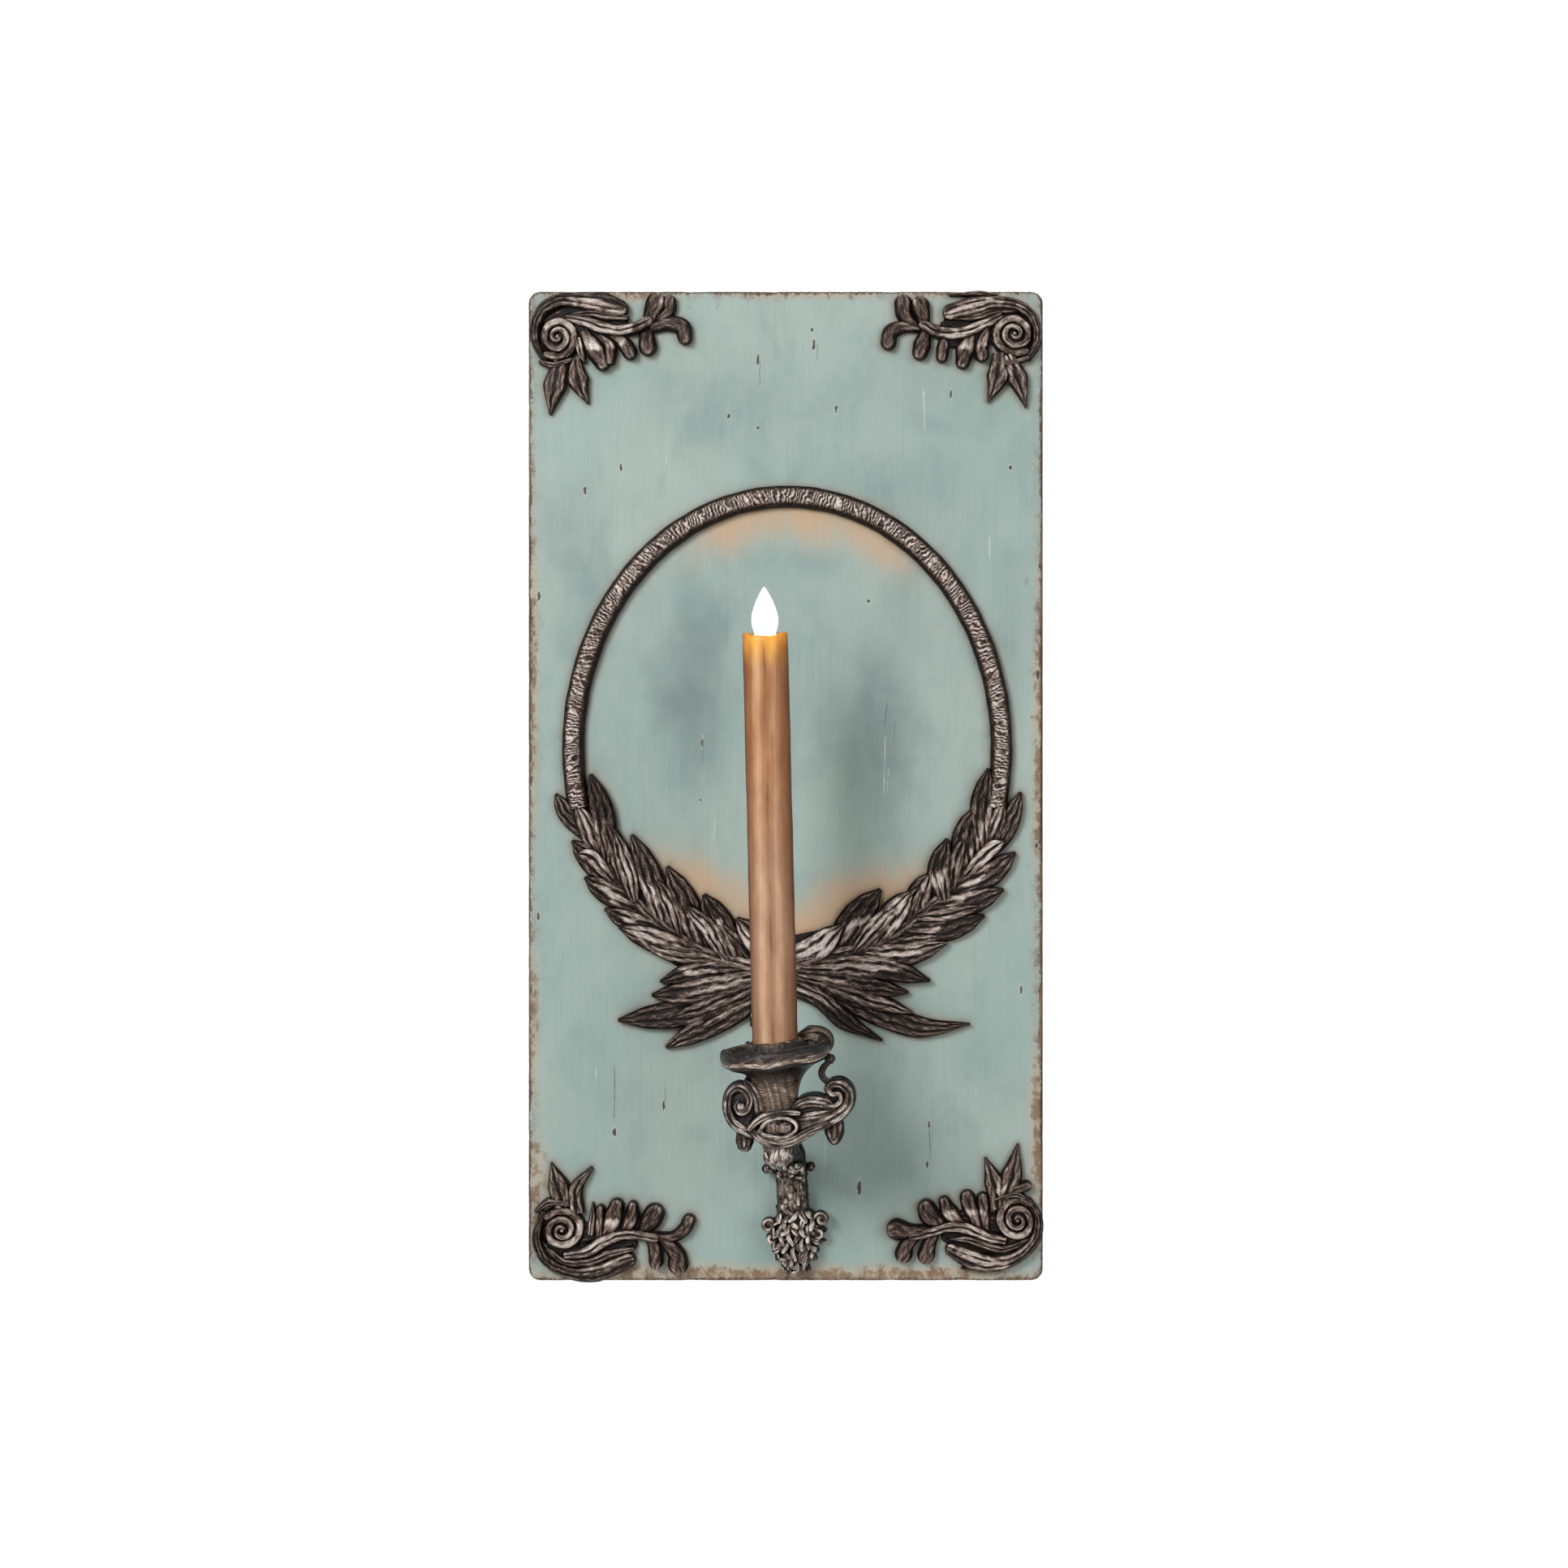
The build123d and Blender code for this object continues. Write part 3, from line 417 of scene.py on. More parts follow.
class Shader:
    """A few short calls for building a node material."""

    def __init__(self, name):
        self.material = bpy.data.materials.new(name)
        self.material.use_nodes = True
        self.tree = self.material.node_tree
        self.surface = self.tree.nodes["Principled BSDF"]

    def node(self, kind, **settings):
        node = self.tree.nodes.new(kind)
        for key, value in settings.items():
            setattr(node, key, value)
        return node

    def feed(self, socket, value):
        """Links a socket to a node's output, or sets it to a constant."""
        if isinstance(value, bpy.types.NodeSocket):
            self.tree.links.new(value, socket)
        else:
            socket.default_value = value

    def math(self, operation, *values, clamp=False):
        node = self.node("ShaderNodeMath", operation=operation, use_clamp=clamp)
        for socket, value in zip(node.inputs, (*values, 0.0, 0.0)):
            self.feed(socket, value)
        return node.outputs[0]

    def plus(self, a, b):
        return self.math("ADD", a, b)

    def less(self, a, b):
        return self.math("SUBTRACT", a, b)

    def times(self, a, b, clamp=False):
        return self.math("MULTIPLY", a, b, clamp=clamp)

    def scaled(self, value, gain, start):
        """value * gain + start."""
        return self.math("MULTIPLY_ADD", value, gain, start)

    def swing(self, value, gain, start):
        """start, moved by gain times how far a noise is from its middle."""
        return self.scaled(self.less(value, 0.5), gain, start)

    def vector(self, operation, a, b=(0, 0, 0)):
        node = self.node("ShaderNodeVectorMath", operation=operation)
        self.feed(node.inputs[0], a)
        self.feed(node.inputs[1], b)
        return node.outputs["Value"] if operation == "LENGTH" else node.outputs["Vector"]

    def attribute(self, name, output="Fac"):
        return self.node("ShaderNodeAttribute", attribute_name=name).outputs[output]

    def place(self):
        """The piece's own coordinates in millimetres."""
        coordinates = self.node("ShaderNodeTexCoord").outputs["Object"]
        return self.vector("MULTIPLY", coordinates, (1000, 1000, 1000))

    def noise(self, vector, scale=(1, 1, 1), detail=3.0, rough=0.55, distort=0.0):
        """Noise whose scale is in features a millimetre."""
        node = self.node("ShaderNodeTexNoise")
        self.feed(node.inputs["Vector"], self.vector("MULTIPLY", vector, scale))
        node.inputs["Scale"].default_value = 1.0
        node.inputs["Detail"].default_value = detail
        node.inputs["Roughness"].default_value = rough
        node.inputs["Distortion"].default_value = distort
        return node.outputs["Fac"]

    def step(self, value, low, high):
        """0 below low and 1 above high."""
        node = self.node("ShaderNodeMapRange", interpolation_type="SMOOTHSTEP")
        self.feed(node.inputs["Value"], value)
        node.inputs["From Min"].default_value = low
        node.inputs["From Max"].default_value = high
        return node.outputs["Result"]

    def below(self, value, low, high):
        """1 below low and 0 above high."""
        return self.less(1.0, self.step(value, low, high))

    def mix(self, factor, a, b):
        node = self.node("ShaderNodeMix", data_type="RGBA", blend_type="MIX")
        self.feed(node.inputs["Factor"], factor)
        self.feed(node.inputs["A"], a)
        self.feed(node.inputs["B"], b)
        return node.outputs["Result"]

    def over(self, paint, mask, strength, colour):
        """The paint, with a colour laid over it where the mask is, up to this strength."""
        return self.mix(self.times(mask, strength), paint, colour)

    def ramp(self, value, stops, tones):
        node = self.node("ShaderNodeValToRGB")
        self.feed(node.inputs["Fac"], value)
        elements = node.color_ramp.elements
        while len(elements) < len(stops):
            elements.new(0.5)
        for element, position, tone in zip(elements, stops, tones):
            element.position = position
            element.color = srgb(*tone)
        return node.outputs["Color"]

    def bump(self, height, strength, distance):
        node = self.node("ShaderNodeBump")
        node.inputs["Strength"].default_value = strength
        node.inputs["Distance"].default_value = distance
        self.feed(node.inputs["Height"], height)
        self.feed(self.surface.inputs["Normal"], node.outputs["Normal"])

    def set(self, **inputs):
        """Feeds the surface's own inputs, named with _ for each space."""
        for key, value in inputs.items():
            self.feed(self.surface.inputs[key.replace("_", " ")], value)


def casting_material(name, tones, stops, rough, brushed, level):
    """Dark cast relief with a lighter paint dry-brushed over its ridges; its darkest and lightest tones also
    serve as painted shade in the grooves and painted highlight on the ridges. tones run from groove to ridge.
    """
    s = Shader(name)
    place = s.place()
    relief = s.attribute("relief")
    flow = s.attribute("flow", "Vector")
    streak = s.noise(flow, (0.16, 1.5, 1.0), 4.0, 0.65)
    mottle = s.noise(place, (0.22, 0.22, 0.22), 3.0, 0.6)
    grit = s.noise(place, (1.6, 1.6, 1.6), 3.0, 0.6)
    hair = s.noise(flow, (0.25, 3.4, 1.0), 3.0, 0.6)
    tone = s.scaled(streak, brushed, relief)
    tone = s.swing(hair, 0.5, tone)
    tone = s.scaled(grit, 0.22, tone)
    tone = s.scaled(mottle, 0.25, tone)
    tone = s.less(tone, 0.5 * (brushed + 0.47))
    s.set(Base_Color=s.ramp(tone, stops, tones), Roughness=s.scaled(grit, 0.25, rough - 0.12))
    s.surface.inputs["Specular IOR Level"].default_value = level
    s.bump(s.scaled(s.plus(streak, hair), 0.7, s.times(grit, 0.4)), 0.55, 0.0005)
    return s.material


def plain_material(name, colour, rough, metallic):
    """A moulded or machined surface: an even colour with faint mottling, and a fine bump."""
    s = Shader(name)
    place = s.place()
    patch = s.noise(place, (0.5, 0.5, 0.5), 3.0)
    grain = s.noise(place, (2.5, 2.5, 2.5), 2.0)
    mottle = 0.15
    dark = tuple(c * (1 - mottle) for c in colour[:3]) + (1.0,)
    light = tuple(min(c * (1 + mottle), 1.0) for c in colour[:3]) + (1.0,)
    s.set(Base_Color=s.mix(patch, dark, light), Roughness=s.scaled(grain, 0.2, rough - 0.1))
    s.surface.inputs["Metallic"].default_value = metallic
    s.bump(grain, 0.15, 0.0002)
    return s.material


# The castings' paints: tones from groove to ridge and where each lies, then roughness, brushing and gloss.
# The groove and ridge tones are partly painted shade and painted highlight.
ONLAY = casting_material(
    "onlay_paint", [(14, 8, 6), (62, 46, 39), (128, 111, 101), (210, 201, 194)], (0.22, 0.40, 0.61, 0.88),
    rough=0.42, brushed=0.7, level=0.18)
ARM_PAINT = casting_material(
    "arm_paint", [(12, 7, 5), (54, 40, 33), (114, 99, 89), (220, 210, 201)], (0.21, 0.38, 0.57, 0.86),
    rough=0.38, brushed=0.75, level=0.28)
CUP_PAINT = casting_material(
    "cup_paint", [(12, 7, 5), (50, 36, 27), (108, 86, 68), (206, 196, 186)], (0.22, 0.37, 0.55, 0.80),
    rough=0.24, brushed=0.8, level=0.5)


# ---------------------------------------------------------------- onlays on the board
# Each corner is a volute (centre, radius, where its spiral starts, which way it winds) and strokes of
# (kind, centre line in mm, width at each point).
CORNERS = {
    "corner_top_left": ((-114.5, 226.0), 12.0, -118, 1, [
        ("fill", [(-118, 234), (-106, 238), (-92, 236), (-80, 231)], [9, 13, 14, 6]),
        ("fill", [(-104, 228), (-94, 225), (-84, 224)], [12, 11, 6]),
        ("club", [(-120.6, 213.4), (-125.4, 222.4), (-126.1, 230.9), (-122.2, 240), (-113.6, 244.6),
                  (-102.5, 244.3),
                  (-92, 243), (-83.6, 240.6)], [3, 4, 5, 6, 7, 8.5, 12, 9]),
        ("rib", [(-110, 236.4), (-98, 238), (-89, 236.6), (-80.5, 236)], [3, 4.5, 5, 3.5]),
        ("stem", [(-110, 235.7), (-99.3, 233.3), (-91.8, 230.7), (-83.3, 229.4), (-74.8, 230.9),
                  (-69.4, 233.9)],
         [4, 6.5, 7, 6, 6, 6]),
        ("lobe", [(-64.1, 234.1), (-58.8, 239.5), (-58.2, 244.3)], [5, 7, 6.5]),
        ("lobe", [(-69.5, 231.6), (-66.8, 239), (-65.0, 243.2)], [6, 9.5, 11]),
        ("lobe", [(-68, 231), (-58.8, 233.2), (-52.2, 231.4), (-50.6, 226.2)], [6, 7.5, 9, 7.5]),
        ("lobe", [(-70, 228.5), (-69.4, 221.6)], [7.5, 9.5]),
        ("lobe", [(-87.5, 227.2), (-81.2, 222.9), (-78.4, 218.6)], [4, 8, 7.5]),
        ("lobe", [(-93.9, 227.2), (-88.3, 221.3), (-88.2, 214.8)], [4, 6.5, 5.5]),
        ("lobe", [(-101.4, 229.3), (-96.6, 220.8), (-92.3, 213.4)], [6, 11, 8]),
        ("leaf", [(-104.5, 225.6), (-102.8, 218.2), (-101.2, 213.6)], [4, 4.5, 1]),
        ("leaf", [(-105.5, 214.9), (-104.3, 204.3), (-99.8, 193.6)], [5, 11.5, 1.5]),
        ("leaf", [(-113, 214), (-116.3, 201.1), (-118.5, 188)], [8, 12, 1.5]),
        ("rib", [(-123, 213.5), (-116, 211.8), (-108, 214.5)], [2.5, 4, 2.5]),
    ]),
    "corner_top_right": ((115.5, 227.5), 12.3, -60, -1, [
        ("fill", [(118, 234), (106, 238), (92, 236), (81, 232)], [9, 13, 13, 6]),
        ("fill", [(104, 229), (94, 226), (84, 224)], [12, 11, 6]),
        ("club", [(122, 215), (127, 224), (125, 235), (117, 242), (106, 243.3), (95, 241.5), (83.6, 238.6)],
         [3.4, 4.6, 5.2, 5.8, 6.9, 10.5, 8.6]),
        ("leaf", [(107, 246.5), (98, 248), (83, 247.6)], [2.8, 3.4, 1.1]),
        ("rib", [(118, 240), (106, 239), (95, 236), (80.5, 235.5)], [3.3, 4.4, 4.4, 1.1]),
        ("stem", [(109, 237), (98, 231.5), (88, 228), (78, 228.5), (70, 232)], [4.5, 6.2, 6.7, 6.7, 5.6]),
        ("lobe", [(70, 230), (69.3, 236.5), (68, 241.8)], [6.2, 7.5, 10]),
        ("lobe", [(66, 231), (60, 237.5), (59.5, 243)], [5, 8.1, 9.4]),
        ("lobe", [(68, 231), (60, 231.6), (53.5, 229), (52, 223.8)], [5, 6.2, 8.1, 8.1]),
        ("lobe", [(71, 229), (69, 222.5), (68, 218.8)], [6.2, 9.4, 8.1]),
        ("lobe", [(80, 227), (79.5, 221), (79, 216.5)], [3.8, 6.9, 6.2]),
        ("lobe", [(94, 228), (91, 220), (89.5, 214)], [6.2, 10.6, 7.5]),
        ("lobe", [(102, 231), (99, 222), (99, 217.5)], [5, 8.1, 7.5]),
        ("leaf", [(108, 218), (107, 206), (102.5, 194.3)], [6.7, 11.8, 1.3]),
        ("leaf", [(112, 217), (117.3, 205), (121.3, 191.5)], [6.7, 10.6, 1.1]),
        ("rib", [(105, 214), (112, 212.8), (122, 215.5)], [2.2, 3.3, 2.2]),
    ]),
    "corner_bottom_left": ((-112.3, -223.5), 12.3, 135, -1, [
        ("fill", [(-116, -231), (-104, -238), (-91, -236), (-78, -231)], [9, 12, 12, 7]),
        ("fill", [(-103, -226), (-92, -224), (-80, -222)], [11, 11, 7]),
        ("club", [(-122, -214), (-125.3, -228), (-120, -239), (-108, -245), (-95, -245), (-79.5, -239)],
         [3.4, 4.6, 5.8, 6.9, 9.6, 8.6]),
        ("rib", [(-119, -234), (-110, -239.8), (-98, -239.5), (-88, -235.5), (-77.5, -233.2)],
         [3.3, 4.4, 5, 5, 3.3]),
        ("stem", [(-111, -236.5), (-100, -234.5), (-91, -229), (-82, -226), (-73, -226), (-66, -227.5)],
         [3.9, 6.2, 6.7, 5.6, 5.6, 5.6]),
        ("leaf", [(-112, -212), (-114.5, -201), (-118, -190.5)], [10.1, 11.2, 1.1]),
        ("leaf", [(-105, -215), (-105.5, -203), (-98, -193)], [7.8, 7.3, 2]),
        ("leaf", [(-98, -226), (-97, -217), (-97, -210.5)], [3.4, 3.9, 1.1]),
        ("lobe", [(-94, -230), (-93.5, -219), (-93, -213)], [5, 5, 4.4]),
        ("lobe", [(-92, -230), (-87, -219), (-85, -211.5)], [5, 11.2, 7.5]),
        ("lobe", [(-81, -227), (-77.5, -217), (-76.8, -211.5)], [5, 8.8, 5]),
        ("lobe", [(-73, -227), (-68, -219), (-66, -215.5)], [5, 11.2, 10.6]),
        ("lobe", [(-68, -227), (-57, -227.3), (-51, -223.5), (-48.5, -219)], [5, 5.6, 6.9, 6.9]),
        ("lobe", [(-68, -227), (-65.5, -234), (-65, -239.5)], [5, 7.5, 7.5]),
        ("lobe", [(-63, -227), (-55.5, -235), (-54, -241)], [5, 8.8, 10.6]),
        ("rib", [(-125, -214), (-119, -209.6), (-110, -210)], [2.8, 4.4, 2.8]),
    ]),
    "corner_bottom_right": ((117.0, -218.5), 12.3, 55, 1, [
        ("fill", [(120, -227), (107, -234), (94, -231), (82, -227)], [9, 12, 12, 7]),
        ("fill", [(106, -221), (94, -219), (82, -218)], [11, 11, 7]),
        ("club", [(122, -208), (127.5, -218), (125.5, -229), (116, -237.5), (104, -240.3), (94, -238.2),
                  (84, -233.6)], [3.4, 4.6, 5.8, 6.9, 9, 11, 7]),
        ("leaf", [(112, -239), (101, -243), (89, -243.2)], [3.4, 4.5, 1.1]),
        ("rib", [(122, -229), (110, -233.3), (100, -230.8), (92, -228.3), (83.5, -228.3)],
         [3.3, 4.4, 5, 3.9, 1.1]),
        ("stem", [(111, -229), (102, -227), (92, -222.8), (82, -222), (72, -225), (64, -227)],
         [4.5, 5.6, 6.7, 5.6, 5.6, 4.5]),
        ("leaf", [(107, -213), (105, -199), (101, -188)], [7.8, 10.1, 1.3]),
        ("leaf", [(109, -210), (114.2, -196), (117.3, -181)], [6.7, 11.2, 1.1]),
        ("lobe", [(110, -208), (116, -203.3), (121.5, -201.5)], [5, 6.2, 5.6]),
        ("lobe", [(101, -224), (100, -213), (99.5, -207.5)], [5, 6.9, 6]),
        ("lobe", [(98, -224), (93.5, -213), (91.8, -207.5)], [5, 8.8, 8.1]),
        ("lobe", [(90, -222), (83, -215), (80.3, -209.7)], [5, 9.4, 6.2]),
        ("lobe", [(80, -223), (73, -216.5), (71.3, -213)], [6.2, 11.2, 9.4]),
        ("lobe", [(73, -224), (64, -224.3), (56.5, -223.5)], [6.2, 6.9, 11.2]),
        ("lobe", [(67, -226), (61.5, -231), (59.7, -235.7)], [5, 7.5, 9.4]),
        ("lobe", [(76, -224), (72.5, -231), (71, -236)], [5, 7.5, 9.4]),
        ("rib", [(123, -209), (116, -205.5), (106, -208)], [2.2, 3.9, 2.2]),
    ]),
}
# kind: (heights along the stroke, ridges, ridge depth, ends, how light its paint is)
STROKE_KINDS = {
    "fill": ([2.0, 2.4, 2.0], 3, 0.5, "round round", 0.85),
    "club": ([4.3, 5.6, 6.2, 5.4], 3, 0.75, "point round", 0.84),
    "rib": ([3.8, 4.8, 4.2], 2, 0.5, "round round", 1.0),
    "stem": ([4.6, 5.4, 5.4, 5.0], 2, 0.6, "point round", 0.95),
    "lobe": ([3.0, 4.4, 5.4], 1, 0.4, "point round", 1.02),
    "leaf": ([3.8, 4.8, 3.4], 2, 0.6, "point round", 1.15),
}
VOLUTE_TURNS = 2.2
VOLUTE_WIDTHS = [5.2, 5.2, 4.6, 3.8, 2.6]
VOLUTE_HEIGHTS = [4.4, 4.6, 5.0, 5.4, 5.4]


def corner_piece(name, volute, radius, start_deg, winding, strokes):
    """A cast corner onlay. Returns points over its outline, for the darker band beside it."""
    carving = Carving()
    cx, cz = volute
    blob(carving, (cx, -0.2, cz), (radius * 0.98, 3.6, radius * 0.98), seed=1.0, relief=0.1, front=True,
         cols=28)
    angles = np.arange(0, 6.3, 0.2)
    outline = [np.array([(cx + radius * math.cos(a), cz + radius * math.sin(a)) for a in angles])]
    for i, (kind, points, widths) in enumerate(strokes):
        heights, ridges, depth, ends, light = STROKE_KINDS[kind]
        seed = 1.3 * i + radius + cx * 0.01
        outline.append(stroke(carving, points, widths, heights, ridges, depth, 0.04 * i, ends, 19, 0.7, seed,
                              shine=light))
    spiral(carving, volute, radius - 2.1, 1.2, start_deg, VOLUTE_TURNS * winding, VOLUTE_WIDTHS,
           VOLUTE_HEIGHTS, seed=cx * 0.1, depth=0.5, shine=0.86)
    blob(carving, (cx, 2.0, cz), (1.5, 3.9, 1.5), seed=2.0, relief=0.5, front=True, cols=14, rows=7)
    carving.piece(name + "_casting", ONLAY, "onlay_casting", nodes=(name,))
    return np.vstack(outline)


# The sprigs' stems and leaves: (centre line, width), in mm on the board's face.
SPRIGS = {
    "wreath_left": (([(-102, -10), (-95, -30), (-82, -50), (-62, -70), (-40, -84), (-5, -93)],
                     [3.5, 4.5, 5, 6, 7, 9]), [
        ([(-97, -27), (-109, -15), (-115.7, -4)], 9), ([(-89, -36), (-92, -14), (-98, 6)], 11),
        ([(-92, -38), (-99, -22), (-105, -9)], 10), ([(-82, -53), (-96, -39), (-107.3, -27.5)], 12),
        ([(-88, -46), (-97, -36), (-104, -34)], 8),
        ([(-80, -50), (-84, -34), (-90, -17)], 10), ([(-72, -62), (-88, -54), (-101, -46)], 12),
        ([(-76, -56), (-80, -40), (-86, -22)], 9), ([(-62, -68), (-68, -46), (-77.3, -24.5)], 12),
        ([(-60, -74), (-76, -69), (-91, -62)], 11), ([(-46, -84), (-64, -78), (-83.5, -71)], 12),
        ([(-54, -74), (-58, -60), (-66, -46)], 9), ([(-42, -82), (-50, -60), (-59.5, -40.5)], 13),
        ([(-30, -86), (-38, -72), (-50, -60)], 9), ([(-24, -88), (-33, -70), (-41, -54.5)], 14),
        ([(-12, -90), (-22, -78), (-33, -68)], 9), ([(-4, -90), (-13, -79), (-24.5, -66.5)], 14),
        ([(-36, -86), (-55, -84), (-72, -79)], 9),
        ([(-14, -93), (-42, -93.5), (-63, -98.5)], 11), ([(-10, -96), (-42, -103), (-67, -105.3)], 13),
        ([(-8, -99), (-50, -113.5), (-84, -118)], 14), ([(-6, -102), (-34, -117.5), (-60, -131.7)], 13),
        ([(-10, -98), (-36, -109), (-58, -117)], 8), ([(-4, -98), (-11, -110), (-17, -121)], 9),
    ]),
    "wreath_right": (([(107, -8), (99, -34), (86, -48), (66, -66), (42, -80), (-5, -92)],
                      [3.5, 4.5, 5, 6, 7, 9]), [
        ([(103, -34), (112, -20), (118.7, -3)], 10), ([(99, -32), (99, -10), (102.5, 9)], 11),
        ([(100, -38), (106, -20), (110, -8)], 9), ([(86, -52), (102, -45), (116, -33.5)], 12),
        ([(92, -44), (103, -32), (110, -28)], 8),
        ([(74, -62), (92, -59), (110, -52)], 12), ([(60, -73), (81, -72), (100.5, -65.3)], 12),
        ([(68, -66), (84, -64), (99, -60)], 7), ([(34, -84), (58, -85), (81.5, -79)], 12),
        ([(92, -46), (90, -28), (95.5, -10.5)], 12), ([(80, -56), (77.5, -42), (81.5, -26.5)], 11),
        ([(84, -52), (86, -38), (90, -26)], 8), ([(66, -68), (67, -56), (73, -43.5)], 12),
        ([(46, -77), (54, -65), (64, -53)], 13), ([(60, -70), (62, -60), (68, -50)], 8),
        ([(24, -86), (35, -68), (48, -52)], 15), ([(36, -82), (46, -70), (57, -60)], 9),
        ([(0, -88), (15, -82), (29, -70)], 14), ([(44, -82), (62, -80), (80, -76)], 9),
        ([(12, -91), (46, -91), (73, -98)], 12), ([(8, -95), (36, -100), (62, -104)], 11),
        ([(2, -95), (46, -113.5), (68, -121.5), (93, -120)], [9, 14, 11, 1]),
        ([(20, -100), (44, -108), (64, -114)], 8),
        ([(-4, -99), (16, -106), (30, -118), (49, -128.3)], [9, 10, 10, 1]),
    ]),
}


# A plain leaf's width along its length, as parts of its given width, and the fill's, as parts of the stem's.
LEAF_TAPER = (0.62, 0.98, 1.12, 1.05, 0.78, 0.12)
FILL_SPREAD = (1.4, 2.4, 3.4, 4.0, 3.8, 3.2)


def sprig_piece(name, stem, leaves):
    """A laurel sprig: leaves whose tips ride over the next leaf's foot, on a fill that closes the gaps."""
    carving = Carving()
    line, widths = stem
    fill = [w * f for w, f in zip(widths, FILL_SPREAD)]
    outline = [
        stroke(carving, line, fill, 1.4, 4, 0.4, 0.0, "round round", 31, 0.9, 6.0, shine=0.5),
        stroke(carving, line, widths, [2.8, 3.4, 4.0], 2, 0.5, 0.2, "round round", 15, 0.8, 9.0),
    ]
    for i, (points, width) in enumerate(leaves):
        widths = width if isinstance(width, list) else [width * f for f in LEAF_TAPER]
        seed = 2.1 * i + 0.3
        ridges = 3 if max(widths) > 9.5 else 2
        layer = (0.0, 1.5, 0.7)[i % 3]
        lift = [0.1 + layer, 0.7 + layer, 1.9 + layer]
        # Leaves low on the sprig are painted a little darker.
        lower_leaf_tone = 0.92 if min(z for x, z in points) < -96 else 0.96
        shine = lower_leaf_tone + 0.12 * math.sin(seed * 2.3)
        outline.append(stroke(carving, points, widths, [2.4, 3.2, 3.4, 2.6], ridges, 0.8, lift, "round point",
                              23, 0.7, seed, waver=0.55, shine=shine))
    carving.piece(name + "_casting", ONLAY, "onlay_casting", nodes=(name,))
    return np.vstack(outline)


def ring_piece():
    """The oval rope moulding: smooth dark edges and short wavering ridges across its middle."""
    carving = Carving()
    band_w, tall, foot_z = 11.0, 6.6, -11.0
    drop = math.asin((foot_z - OVAL_Z) / OVAL_HALF_H)
    angle = np.linspace(drop, math.pi - drop, 2000)
    line = np.column_stack([OVAL_X + OVAL_HALF_W * np.cos(angle), OVAL_Z + OVAL_HALF_H * np.sin(angle)])
    run = np.concatenate([[0], np.cumsum(np.linalg.norm(np.diff(line, axis=0), axis=1))])
    want = np.arange(0, run[-1], 0.34)
    line = np.column_stack([np.interp(want, run, line[:, k]) for k in range(2)])
    side = sideways(line)
    u = half_section(23)[None, :]
    s = want[:, None]
    width = band_w * (1 + 0.03 * wander(want, 4.0, 0.12))[:, None]
    crimp = s / 2.0 + 0.9 * u * np.sin(s * 0.11 + 1.0) + 0.9 * wander(s, 1.0, 0.22)
    crimp = crimp + 0.3 * wander(3 * u + 0.4 * s, 2.0)
    ridge = 1 - 2 * np.abs(np.cos(math.pi * crimp)) ** 1.6
    curl = wander(s * 1.3 + 5 * u, 6.0) + wander(s * 0.8 - 7 * u, 3.0)
    middle = smoothstep(0.95, 0.3, np.abs(u))
    rope = (0.55 * ridge + 0.22 * curl) * middle
    dome = (1 - np.abs(u) ** 2.4) ** 0.6
    top = tall * (0.3 + 0.7 * dome) + 0.5 * rope - 0.4 * smoothstep(0.12, 0.0, np.abs(np.abs(u) - 0.72))
    # The paint darkens toward the band's edges: partly dark patina, partly painted shade where it meets the
    # board.
    relief = np.clip((0.50 + 0.55 * rope) * middle + 0.14, 0, 1) * smoothstep(0.0, 0.5, dome)
    x, z = offset(line, side, width, u)
    rear_x, rear_z = offset(line, side, width, np.array([[1.0, -1.0]]))
    all_x = np.hstack([x, rear_x])
    all_h = np.hstack([top, np.full(rear_x.shape, SUNK)])
    rings = placed(on_face, all_x, all_h, np.hstack([z, rear_z]))
    flow = np.stack([np.repeat(s, all_x.shape[1], 1), all_h, all_x * 0], axis=-1)
    carving.loft(rings, np.hstack([relief, np.full(rear_x.shape, REAR_RELIEF)]), flow)
    carving.piece("rope_moulding", ONLAY, "onlay_casting", nodes=("rope_ring",), level=0.08)
    return np.column_stack([x[::3, ::5].ravel(), z[::3, ::5].ravel()])


outlines = [corner_piece(name, *shape) for name, shape in CORNERS.items()]
outlines += [sprig_piece(name, *shape) for name, shape in SPRIGS.items()]
outlines.append(ring_piece())


# ---------------------------------------------------------------- the board
# Wormholes and chips through the paint, in mm on the face: (x, z, half width, half height).
WORMHOLES = [
    (13.5, 230.5, 0.6, 1.1), (14.3, 223.0, 0.7, 2.8), (-13.9, 215.5, 0.7, 3.0), (-28.6, 187.0, 0.8, 0.9),
    (-13.9, 181.0, 0.8, 0.9), (25.6, 190.4, 0.6, 1.8), (83.6, 198.0, 0.6, 2.0), (-83.2, 160.8, 0.7, 2.0),
    (-101.2, 149.2, 0.7, 2.2), (113.6, 160.9, 0.9, 1.0), (42.0, 93.6, 0.9, 0.9), (-42.0, 21.6, 0.6, 2.0),
    (-42.6, -6.8, 0.6, 0.7), (-86.4, -175.0, 0.9, 2.0), (-61.6, -161.6, 0.5, 2.6), (37.2, -203.0, 0.9, 3.6),
    (72.4, -171.0, 0.6, 1.8), (71.4, -191.4, 0.6, 1.8), (119.0, -103.0, 0.7, 2.0), (-124.6, 96.0, 0.8, 2.2),
    (127.4, 56.0, 0.8, 2.6), (126.8, -30.0, 0.6, 1.6), (-125.0, -66.0, 0.7, 2.2),
]
